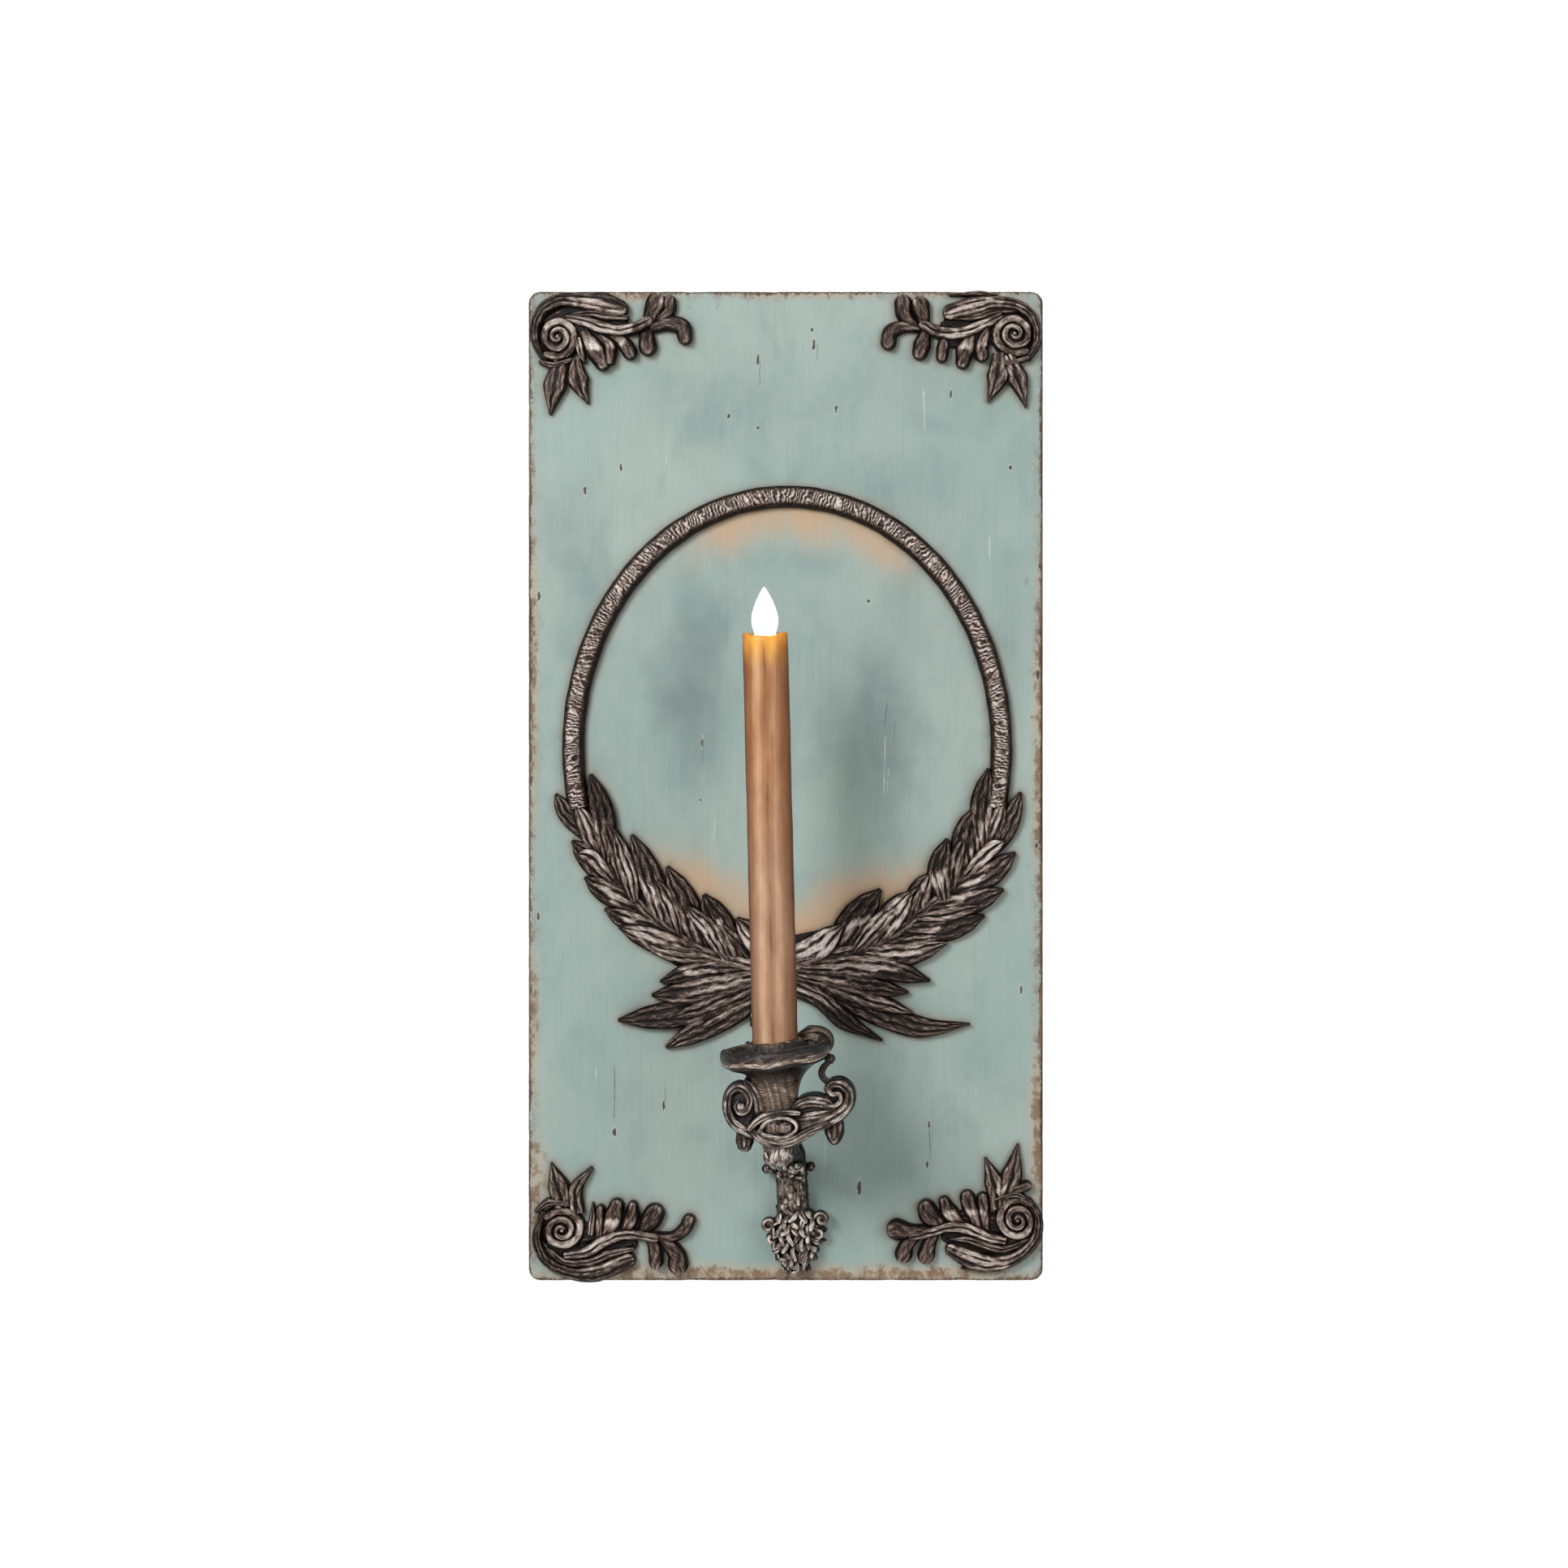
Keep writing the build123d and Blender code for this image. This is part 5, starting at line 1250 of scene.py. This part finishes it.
def arm_piece():
    """The arm: bud, column and elbow, with the curls, knobs, flower and leaves worked over them."""
    carving = Carving()
    tube(carving, ARM_PATH, ARM_HALVES, 0.5, 3.0, 9, relief=0.36)
    bud_leaves(carving)
    for cx, cs, r, turn, start in SIDE_CURLS:
        blob(carving, (cx, 6.0, cs), (r * 0.95, 3.4, r * 0.9), on_arm, cx, 0.2, 0.12)
        spiral(carving, (cx, cs), r * 0.85, 0.9, start, 1.2 * turn, [2.4, 2.6, 1.8], [2.2, 2.8, 2.4],
               out_from(7.2), cx, 4.0)
    column_crust(carving)
    # The knobs and the loop beside the column, and the flower over its middle.
    for side, x, s in ((-1, -10.6, 38.2), (1, 11.6, 38.8)):
        blob(carving, (x, 6.5, s), (2.3, 2.7, 2.5), on_arm, side, 0.3, 0.14, 10, 16)
        band(carving, out_from(6.8), [(x, s - 0.4), (x * 0.62 + 0.6, s - 2.0)], [2.6, 2.0], 1.6, 1, 0.3, 9,
             side + 3.0, 2.4)
    band(carving, beside_column, [(-4.0, 51.6), (-6.8, 49.4), (-7.6, 45.6), (-6.8, 42.0), (-4.6, 40.4)],
         [2.4, 2.2, 2.0, 2.2, 2.4], 2.0, 2, 0.4, 9, 8.0, 2.2)
    band(carving, beside_column, [(7.6, 51.6), (8.6, 47.6), (8.6, 43.4), (7.8, 41.0)], [1.8, 2.2, 2.0, 1.8],
         2.0, 2, 0.4, 9, 11.0, 2.2)
    flower(carving, 2.4, 36.6)
    for k, (x, s, lean, long) in enumerate(COLUMN_LEAVES):
        points = [(x + lean, s + long / 2), (x - lean * 0.4, s), (x + lean * 0.3, s - long / 2)]
        band(carving, on_column, points, [1.6, 2.8, 1.4], [0.6, 1.2, 0.6], 1, 0.5, 9, k * 1.9)
    # Leaves and drops crowd the elbow's front, under the cradle.
    for k in range(16):
        x = 0.6 + 6.4 * math.sin(GOLDEN_ANGLE * k)
        s = 52.0 + 8.5 * ((k * GOLDEN_STEP) % 1)
        lean = 0.8 * math.sin(k * 1.7)
        long = 3.0 + 2.4 * ((k * 0.371) % 1)
        points = [(x + lean, s + long / 2), (x, s), (x - lean, s - long / 2)]
        band(carving, on_elbow, points, [1.6, 2.8, 1.8], [0.5, 1.3, 0.9], 1, 0.4, 9, k * 2.3)
    carving.piece("arm_casting", ARM_PAINT, "arm_casting", nodes=("candle_arm",), wear_and_shade=0.8, level=-0.14)


def cradle_layer(carving, where, side):
    """The scrolls seen from the front (side 1), or their repeat at the back (side -1)."""
    blob(carving, (-16.8, -1.6, 81.2), (7.4, 4.4, 8.4), where, 1.0, 0.12, 0.02)
    for points, widths in (([(-15.0, 70.5), (-11.6, 76.0), (-10.4, 84.5)], [7.0, 9.5, 7.0]),
                           ([(7.0, 74.5), (17.0, 76.4), (28.0, 80.6)], [9.0, 11.0, 9.0])):
        band(carving, where, points, widths, 1.4, 3, 0.4, 15, 2.0, 4.6, 0.8, 0.5)
    # The left volute, its heart, and the leaf that climbs between it and the cup.
    band(carving, where,
         [(-2.5, 66.6), (-9, 67.0), (-15.4, 69.0), (-20.6, 73.2), (-22.8, 79.5), (-21.8, 86.0), (-17.8, 88.8),
          (-13.8, 87.0), (-12.2, 82.6), (-13.6, 78.6), (-16.6, 77.2), (-18.8, 79.8), (-17.4, 82.4)],
         [6.4, 6.0, 5.4, 5.0, 4.8, 4.8, 4.8, 4.6, 4.2, 3.8, 3.4, 3.0, 2.2],
         [3.4, 3.8, 4.0, 4.0, 4.0, 4.0, 4.0, 4.1, 4.2, 4.4, 4.6, 4.6, 4.4], 2, 0.6, 17, 3.0 + side, 5.4)
    blob(carving, (-16.4, 2.6, 80.0), (2.2, 3.2, 2.2), where, 3.0, 0.7, 0.06)
    band(carving, where, [(-13.4, 91.2), (-10.4, 87.6), (-8.6, 82.6), (-7.6, 76.0)], [3.4, 5.4, 5.4, 4.6],
         [2.8, 3.4, 3.6, 3.4], 2, 0.6, 15, 6.0, 5.4)
    # The right volute in two bands, and the two leaves that reach it.
    blob(carving, (29.4, -1.6, 83.4), (6.4, 4.4, 7.2), where, 1.4, 0.12, 0.02)
    band(carving, where,
         [(9, 67.4), (16, 69.0), (23, 71.6), (30, 75.4), (34.2, 80.4), (34.4, 85.6), (31.2, 89.2),
          (27.0, 89.4), (24.6, 87.0)],
         [5.4, 5.6, 6.2, 6.4, 6.0, 5.4, 5.0, 4.6, 4.0],
         [3.4, 3.6, 3.8, 4.0, 4.2, 4.2, 4.2, 4.0, 3.6], 2, 0.6, 17, 9.0 + side, 5.4)
    band(carving, where, [(24.6, 87.2), (26.6, 85.0), (29.8, 84.8), (30.4, 81.8), (27.8, 79.4), (24.0, 79.6)],
         [3.8, 3.8, 3.6, 3.4, 3.2, 3.0], [3.8, 4.2, 4.6, 4.6, 4.4, 4.0], 1, 0.5, 13, 12.0, 5.4)
    band(carving, where, [(9.0, 78.8), (13.6, 81.2), (19.2, 81.6), (24.6, 79.8), (27.8, 76.6)],
         [4.0, 6.0, 6.4, 5.6, 4.0], [3.0, 3.4, 3.6, 3.4, 2.8], 3, 0.6, 17, 15.0, 5.4)
    band(carving, where, [(8.8, 73.4), (14, 74.4), (20, 75.0), (26, 76.4)], [4.4, 4.6, 4.8, 4.0],
         [2.4, 2.6, 2.8, 2.6], 2, 0.5, 13, 18.0, 5.4)


def cradle_piece():
    """The scrolled collar under the cup, with its front eye and its two hanging drops."""
    carving = Carving()
    turned(carving,
           [(0.1, 61.6), (6.8, 61.8), (8.4, 63.2), (10.2, 65.8), (11.2, 69), (11.0, 72), (11.2, 74.6),
            (10.8, 76.4), (9.8, 77.4), (0.1, 77.4)], 0.5, 2.0, 64, 0.25)
    tube(carving,
         [(-19, 72, 73.5), (-10, 72, 69.6), (1, 72, 68.2), (12, 72, 70), (22, 72, 73.4), (31, 72, 79)],
         [(3.4, 4.6), (4.6, 6.0), (5.2, 7.0), (5.2, 6.4), (5.0, 5.6), (3.6, 4.6)], 0.7, 5.0, 7, 0.9, 36, 0.3,
         (0, 0, 1))
    for base, side in ((75.2, 1), (68.8, -1)):
        cradle_layer(carving, out_from(base, side), side)
    front = out_from(78.0)
    band(carving, front, [(-12, 70.0), (-8.8, 73.2), (-4.0, 75.8), (3.0, 77.2), (10.4, 76.6)],
         [3.0, 3.8, 4.2, 3.6, 2.6], [3.0, 4.2, 5.0, 4.4, 3.2], 2, 0.5, 13, 21.0, 4.0)
    band(carving, front, [(-11.0, 68.4), (-6, 64.6), (0.8, 63.0), (8.4, 64.2), (15.6, 67.6), (24, 71.0)],
         [4.0, 5.4, 6.0, 5.4, 4.6, 3.4], [2.0, 4.0, 5.4, 4.6, 3.0, 1.8], 3, 0.5, 17, 24.0, 4.0, shine=0.8)
    band(carving, front,
         [(-7.6, 69.0), (-4.2, 73.0), (2.4, 74.8), (8.2, 73.0), (9.6, 69.6), (6.2, 66.6), (0.6, 65.8),
          (-5.0, 67.0), (-7.4, 68.8)],
         2.6, [4.6, 5.2, 5.4, 5.2, 4.6, 5.0, 5.4, 5.0, 4.6], 1, 0.3, 11, 27.0, 4.0)
    blob(carving, (1.2, 79.4, 70.2), (7.6, 4.4, 4.0), on_arm, 1.0, 0.05, 0.04, 14, 28)
    blob(carving, (3.6, 80.6, 70.2), (4.9, 4.4, 3.3), on_arm, 2.0, 0.16, 0.06, 14, 28)
    for x, s, rx, rs in ((-15.4, 63.8, 4.2, 6.0), (27.0, 68.2, 4.6, 8.0)):
        blob(carving, (x, 72.5, s), (rx, 4.8, rs), on_arm, x, 0.25, 0.07, 16, 26)
        band(carving, out_from(75.2),
             [(x - rx * 0.5, s + rs * 0.6), (x - rx * 0.62, s), (x - rx * 0.05, s - rs * 0.78),
              (x + rx * 0.6, s), (x + rx * 0.5, s + rs * 0.6)],
             2.2, [1.8, 1.6, 1.2, 1.6, 1.8], 1, 0.2, 9, x, 2.4)
        band(carving, out_from(76.4), [(x, s + rs * 0.55), (x + 0.2, s - 0.5), (x, s - rs * 0.45)],
             [1.8, 2.6, 1.4], 1.4, 1, 0.3, 9, x + 1, 1.5)
    carving.piece("scroll_casting", ARM_PAINT, "arm_casting", nodes=("scroll_cradle",), wear_and_shade=0.75,
                  level=-0.15)


def tilted_rim(x, d, s, angle):
    """The cup's own unevenness: its tilt, its lip's thick and thin, and the lobe raised at its back right."""
    high = smoothstep(90, 100, s)
    lip = smoothstep(99.0, 105.0, s) * smoothstep(16, 23, np.hypot(x, d))
    s = s + x * math.sin(math.radians(4.0)) * high
    s = s + high * 0.5 * wander(3 * np.cos(angle) + 2 * np.sin(angle), 4.0)
    lobe = np.exp(-((x - 17) / 8.0) ** 2) * smoothstep(2, -14, d)
    s = s + 6.2 * lobe * lip
    point = np.exp(-((x + 25.5) / 3.4) ** 2 - (d / 5.0) ** 2)
    x = x - 0.6 * point * lip
    s = s + 0.6 * point * lip
    grow = 1 + high * (0.018 * wander(4 * np.cos(angle) + np.sin(2 * angle), 7.0))
    return x * grow, d * grow, s


# The cup's outline (r, s) and how light its paint is there: up the candle's socket, over the collar and the
# dish, round the lip, and down the neck. On the lip these paint a highlight along its bulge and shade under
# it.
CUP_OUTLINE = [
    (0.1, 81.0, 0.1), (7.5, 81.0, 0.1), (7.5, 99.0, 0.1), (11.4, 99.0, 0.2), (11.5, 109.2, 0.55),
    (12.0, 110.0, 0.7), (13.0, 109.8, 0.55), (13.9, 108.4, 0.35), (14.6, 106.4, 0.15), (16.0, 104.6, 0.05),
    (18.6, 104.4, 0.05),
    (20.8, 105.8, 0.25), (22.2, 107.2, 0.55), (23.4, 107.6, 0.5), (24.5, 107.0, 0.08), (25.2, 105.8, 0.14),
    (25.5, 104.0, 0.34), (25.4, 102.4, 0.6), (24.9, 100.9, 0.26), (24.0, 99.6, 0.02), (22.4, 98.6, 0.0),
    (19.6, 97.7, 0.0), (16.6, 96.2, 0.12), (14.2, 94.2, 0.3), (12.4, 91.6, 0.48), (11.2, 88.6, 0.6),
    (10.4, 85.2, 0.64), (9.9, 81.8, 0.6), (9.6, 79.0, 0.5), (9.5, 77.0, 0.25), (0.1, 77.0, 0.1),
]
LIP_R = 25.1


def on_lip(x, h, s):
    """A point h mm off the front of the cup's lip."""
    return on_arm(x * (1 + h / 40), AXIS_D + max(LIP_R ** 2 - x * x, 0.0) ** 0.5 + h * 0.6, s)


def cup_piece():
    """The cup: its socket and collar are crisp, and its lip and neck are rounded."""
    carving = Carving()
    outer = [(r, s) for r, s, light in CUP_OUTLINE]
    curve, place = through(outer, 150)
    count = np.arange(len(outer))
    rounded = smoothstep(5.0, 6.0, place)[:, None]
    crisp = np.column_stack([np.interp(place, count, [p[k] for p in outer]) for k in range(2)])
    shade = np.interp(place, count, [light for r, s, light in CUP_OUTLINE])
    turned(carving, crisp * (1 - rounded) + curve * rounded, 0.0, 3.0, 160, shade, tilted_rim)
    # Drips of metal crust the collar.
    for k in range(15):
        a = 2 * math.pi * k / 15 + 0.3 * math.sin(k * 2.1)
        tall = 1.6 + 1.3 * math.sin(k * 1.7) ** 2
        blob(carving, (12.9 * math.cos(a), AXIS_D + 12.9 * math.sin(a), 109.0 - tall * 0.6),
             (1.5, 1.3, tall), on_arm, k * 1.1, 0.3, 0.12, 8, 12)
    # Two drawn-out creases run along the lip's front, the lower one painted light as the lip's highlight, and
    # a rolled lobe stands on its back right.
    for level, reach, seed, light in ((101.6, 25.3, 1.0, 1.1), (104.6, 24.9, 5.0, 0.5)):
        points = []
        for k in range(15):
            x = reach * math.cos(math.radians(-6 - 12 * k))
            points.append((x, level + 0.07 * x + 0.5 * math.sin(k * 1.3 + seed)))
        stroke(carving, points, [1.2, 2.4, 3.2, 2.6, 1.2], [0.2, 0.5, 0.8, 0.5, 0.2], 1, 0.2, 0.0,
               "point point", 11, 0.8, seed, 1.2, on_lip, shine=light)
    band(carving, out_from(61.5),
         [(8.4, 108.2), (13.0, 110.6), (18.6, 112.2), (23.6, 110.4), (25.2, 106.6), (23.4, 102.6)],
         [3.0, 5.4, 6.8, 6.2, 4.2, 2.6], [2.0, 3.0, 3.2, 2.8, 2.2, 1.6], 2, 0.6, 15, 7.0, 3.4, shine=0.8)
    band(carving, out_from(62.4), [(11.0, 107.0), (16.0, 108.6), (20.4, 107.0), (22.4, 103.6)],
         [5.4, 8.4, 8.0, 5.4], [2.2, 3.2, 3.0, 2.0], 2, 0.5, 17, 8.0, 3.0)
    # A tendril joins the lip to the cradle's right volute.
    blob(carving, (25.6, 72.5, 100.7), (2.6, 2.8, 2.5), on_arm, 1.0, 0.12, 0.1)
    band(carving, out_from(72.8), [(25.4, 99.6), (22.6, 96.8), (21.6, 94.2), (22.4, 91.8), (24.8, 89.4)],
         [2.6, 3.2, 3.4, 3.2, 3.0], 1.8, 2, 0.4, 11, 2.0, 2.0, shine=0.6)
    carving.piece("cup_casting_shell", CUP_PAINT, "cup_casting", nodes=("candle_cup",), wear_and_shade=0.12, level=0.04)


# ---------------------------------------------------------------- the candle
def wax_material():
    """Brown wax with painted highlight bands down its front and painted shade on its sides, and near the
    flame an amber tint and a faint glow painted as the flame's light.
    """
    s = Shader("candle_wax")
    place = s.place()
    level = s.attribute("level")
    wax_sheen_and_shade = s.attribute("wax_sheen_and_shade")
    lines = s.noise(place, (1.1, 1.1, 0.012), 3.0, 0.6)
    cloud = s.noise(place, (0.14, 0.14, 0.05), 3.0, 0.6)
    fleck = s.noise(place, (0.9, 0.9, 0.45), 3.0, 0.65)
    tone = s.swing(cloud, 0.5, s.swing(lines, 0.35, wax_sheen_and_shade))
    stops = (0.05, 0.35, 0.62, 0.95)
    tan = s.ramp(tone, stops, [(98, 56, 30), (138, 96, 66), (166, 126, 96), (204, 166, 136)])
    brown = s.ramp(tone, stops, [(104, 54, 20), (136, 84, 44), (158, 108, 68), (200, 152, 112)])
    lower = s.mix(s.step(level, 0.35, 0.8), tan, brown)
    lower = s.over(lower, s.step(fleck, 0.62, 0.75), 0.4, srgb(96, 62, 38))
    # Near the flame the wax is painted amber and made to glow, as painted light from the flame.
    flame_lit_amber = s.ramp(tone, (0.05, 0.45, 0.9), [(150, 82, 22), (208, 138, 48), (232, 172, 74)])
    high = s.scaled(wax_sheen_and_shade, 0.018, s.swing(cloud, 0.06, level))
    colour = s.mix(s.step(high, 0.915, 0.99), lower, flame_lit_amber)
    painted_flame_glow = s.times(s.step(high, 0.955, 1.03), 0.34)
    s.set(Base_Color=colour, Roughness=s.scaled(cloud, 0.2, 0.34), Emission_Strength=painted_flame_glow)
    s.surface.inputs["Emission Color"].default_value = srgb(255, 168, 52)
    s.surface.inputs["Specular IOR Level"].default_value = 0.4
    s.surface.inputs["Subsurface Weight"].default_value = 0.1
    s.surface.inputs["Subsurface Radius"].default_value = (1.0, 0.45, 0.2)
    s.surface.inputs["Subsurface Scale"].default_value = 0.004
    s.bump(s.scaled(lines, 0.5, s.times(fleck, 0.4)), 0.3, 0.0004)
    return s.material


def flame_material():
    """A lit plastic flame: white hot, and a little warmer where it sits in the wax."""
    s = Shader("flame_lens")
    grain = s.noise(s.place(), (0.4, 0.4, 0.3), 2.0)
    foot = s.step(s.attribute("level"), 0.12, 0.3)
    light = s.mix(foot, srgb(255, 222, 176), srgb(255, 250, 243))
    s.set(Base_Color=srgb(250, 240, 226), Emission_Color=light, Emission_Strength=s.scaled(grain, 0.5, 1.3),
          Roughness=0.35)
    return s.material


def arm_coordinates(piece):
    """Each point of a piece in the arm's own frame: (x, d, s) in mm."""
    points = np.array([v.co for v in piece.data.vertices])
    reach = points - np.array(FOOT)
    return (reach @ np.array(ASIDE) / MM, (FACE_Y - points[:, 1]) / MM, reach @ np.array(UP) / MM)


def softened_wax(x, d, s, angle):
    """The taper's slight wobble, and its rim melted lower at the front."""
    front = smoothstep(0.25, 1.0, np.sin(angle))
    near_top = smoothstep(CANDLE_TOP - 26, CANDLE_TOP, s)
    rim = smoothstep(CANDLE_TOP - 5.0, CANDLE_TOP - 1.2, s)
    wobble = 0.10 * wander(2.5 * np.cos(angle) + s * 0.05, 2.0) + 0.07 * wander(s * 0.11 + np.sin(angle), 5.0)
    grow = 1 + (wobble - 0.03 * near_top) / 11.0 * (1 - 0.4 * rim)
    uneven = 0.5 * wander(2 * np.cos(angle) + np.sin(angle), 3.0)
    return x * grow, d * grow, s - rim * (2.2 * front + 0.35 + uneven * 0.6)


# Outlines (r, height above the candle's top): the taper's melted rim and well, and the flame's foot and lens.
WAX_RIM = [
    (10.72, -1.6), (10.5, -0.7), (10.0, -0.15), (9.3, 0), (8.4, -0.5), (7.6, -1.2), (7.0, -1.9), (6.8, -2.7),
    (9.75, -2.9),
]
FLAME_LOW = CANDLE_TOP - 4.8
FLAME_FOOT = [(0.1, FLAME_LOW), (9.3, FLAME_LOW), (9.3, FLAME_LOW + 1.7), (6.2, FLAME_LOW + 1.9)]
FLAME_LENS = [
    (4.9, -1), (5.7, 1.6), (6.25, 4.4), (6.1, 7.4), (5.3, 10.6), (4.15, 13.8), (2.75, 16.8), (1.5, 19.1),
    (0.6, 20.5), (0.05, 21),
]


def from_top(outline):
    return [(r, CANDLE_TOP + up) for r, up in outline]


def candle_piece():
    """The wax taper and its lit flame, with the numbers that their materials read."""
    carving = Carving()
    outer = [(9.8, SEAT + 0.05), (10.7, SEAT + 0.05)]
    outer += [(10.75, SEAT + 3 + k * 4.0) for k in range(50)]
    turned(carving, outer + from_top(WAX_RIM), 0.0, 2.0, 96, 0.5, softened_wax)
    piece = carving.piece("taper_wax", wax_material(), "candle_wax", "candle", ("candle_shell",))
    x, d, s = arm_coordinates(piece)
    turn = np.arctan2(x, d - AXIS_D)
    drift = turn + 0.05 * wander(s, 2.0, 0.03) + 0.02 * wander(s, 5.0, 0.12)
    # Painted light on the wax: two upright bright bands at the front are painted highlights, a dark upright
    # line runs between them, and the sides are painted darker as shade.
    light = np.exp(-((drift + 0.42) / 0.30) ** 2) + 0.75 * np.exp(-((drift - 0.34) / 0.26) ** 2)
    front_dark_line = np.exp(-((drift + 0.02) / 0.05) ** 2) * smoothstep(-0.3, 0.5, wander(s, 1.0, 0.05))
    dark = smoothstep(0.85, 1.5, np.abs(drift)) * smoothstep(3.14, 2.2, np.abs(drift))
    around = 0.16 * wander(4 * drift, 3.0) * smoothstep(1.2, 1.8, np.abs(drift))
    add_field(piece.data, "wax_sheen_and_shade", np.clip(0.42 + 0.42 * light - 0.42 * dark - 0.25 * front_dark_line + around, 0, 1))
    add_field(piece.data, "level", (s - SEAT) / (CANDLE_TOP - SEAT))

    carving = Carving()
    curve = through(from_top(FLAME_LENS), 60)[0]
    turned(carving, FLAME_FOOT + [tuple(p) for p in curve], 0.0, 1.0, 64, 0.5)
    piece = carving.piece("flame_bulb", flame_material(), "flame_lens", "candle", ("candle_flame",))
    add_field(piece.data, "level", (arm_coordinates(piece)[2] - FLAME_LOW) / 26)


arm_piece()
cradle_piece()
cup_piece()
candle_piece()


# ---------------------------------------------------------------- small CAD parts that stay
KEPT = {
    "hanger_plate": (("hanger_left", "hanger_right"), srgb(150, 138, 104), 0.4, 0.9),
    "steel_screw": (("hanger_screws", "arm_screws", "cup_screw"), srgb(138, 138, 136), 0.35, 1.0),
    "led_epoxy": (("flame_led",), srgb(240, 232, 205), 0.15, 0.0),
    "circuit_board": (("led_board",), srgb(34, 92, 58), 0.4, 0.0),
    "black_plastic": (("led_holder", "power_switch"), srgb(28, 28, 30), 0.45, 0.0),
    "tube_plastic": (("battery_tube", "base_cap"), srgb(196, 186, 166), 0.5, 0.0),
    "cell_jacket": (("batteries",), srgb(72, 84, 92), 0.3, 0.6),
    "contact_metal": (("contact_plate",), srgb(196, 186, 150), 0.3, 1.0),
    "spring_steel": (("contact_spring",), srgb(190, 192, 194), 0.25, 1.0),
    "wire_sleeve": (("lead_wires",), srgb(150, 34, 30), 0.45, 0.0),
}
for name, (nodes, colour, rough, metallic) in KEPT.items():
    material = plain_material(name, colour, rough, metallic)
    for node in nodes:
        piece = frame["nodes"][node]
        piece.data.materials.clear()
        piece.data.materials.append(material)


# ---------------------------------------------------------------- floor, light and camera
def floor_piece():
    """A pale round floor, well below the part."""
    bm = bmesh.new()
    bmesh.ops.create_circle(bm, cap_ends=True, segments=96, radius=0.9)
    mesh = bpy.data.meshes.new("pale_floor")
    bm.to_mesh(mesh)
    bm.free()
    floor = bpy.data.objects.new("pale_floor", mesh)
    floor.location = (0, 0, -0.75)
    bpy.context.scene.collection.objects.link(floor)
    s = Shader("floor_paint")
    grain = s.noise(s.place(), (0.02, 0.02, 0.02), 3.0)
    s.set(Base_Color=s.mix(grain, srgb(236, 235, 232), srgb(244, 243, 241)), Roughness=0.8)
    mesh.materials.append(s.material)


def area_light(name, place, size, power):
    """A round white light that faces the part's middle."""
    light = bpy.data.lights.new(name, "AREA")
    light.shape = "DISK"
    light.size = size
    light.energy = power
    lamp = bpy.data.objects.new(name, light)
    lamp.location = place
    lamp.rotation_euler = (-Vector(place)).to_track_quat("-Z", "Y").to_euler()
    bpy.context.scene.collection.objects.link(lamp)


def world():
    """White where the camera sees past the part, and a softer white as light."""
    made = bpy.data.worlds.new("studio")
    made.use_nodes = True
    tree = made.node_tree
    shade = tree.nodes["Background"]
    seen = tree.nodes.new("ShaderNodeBackground")
    path = tree.nodes.new("ShaderNodeLightPath")
    mix = tree.nodes.new("ShaderNodeMixShader")
    for background, strength in ((shade, 0.42), (seen, 1.0)):
        background.inputs["Color"].default_value = (1, 1, 1, 1)
        background.inputs["Strength"].default_value = strength
    for k, source in enumerate((path.outputs["Is Camera Ray"], shade.outputs[0], seen.outputs[0])):
        tree.links.new(source, mix.inputs[k])
    tree.links.new(mix.outputs[0], tree.nodes["World Output"].inputs["Surface"])
    bpy.context.scene.world = made


floor_piece()
world()
area_light("key", (-0.85, -1.55, 0.75), size=0.8, power=26)
area_light("fill", (1.2, -1.4, 0.2), size=1.2, power=8)
area_light("back", (0.3, 1.6, 0.9), size=1.2, power=14)

camera = bpy.data.objects.new("camera", bpy.data.cameras.new("camera"))
camera.location = (CAMERA_X * MM, FACE_Y - CAMERA_DISTANCE * MM, 0)
camera.rotation_euler = (math.pi / 2, 0, 0)
camera.data.lens = 50
camera.data.sensor_width = 36
camera.data.shift_x, camera.data.shift_y = CAMERA_SHIFT
bpy.context.scene.collection.objects.link(camera)
bpy.context.scene.camera = camera
bpy.context.scene.view_settings.view_transform = "Standard"
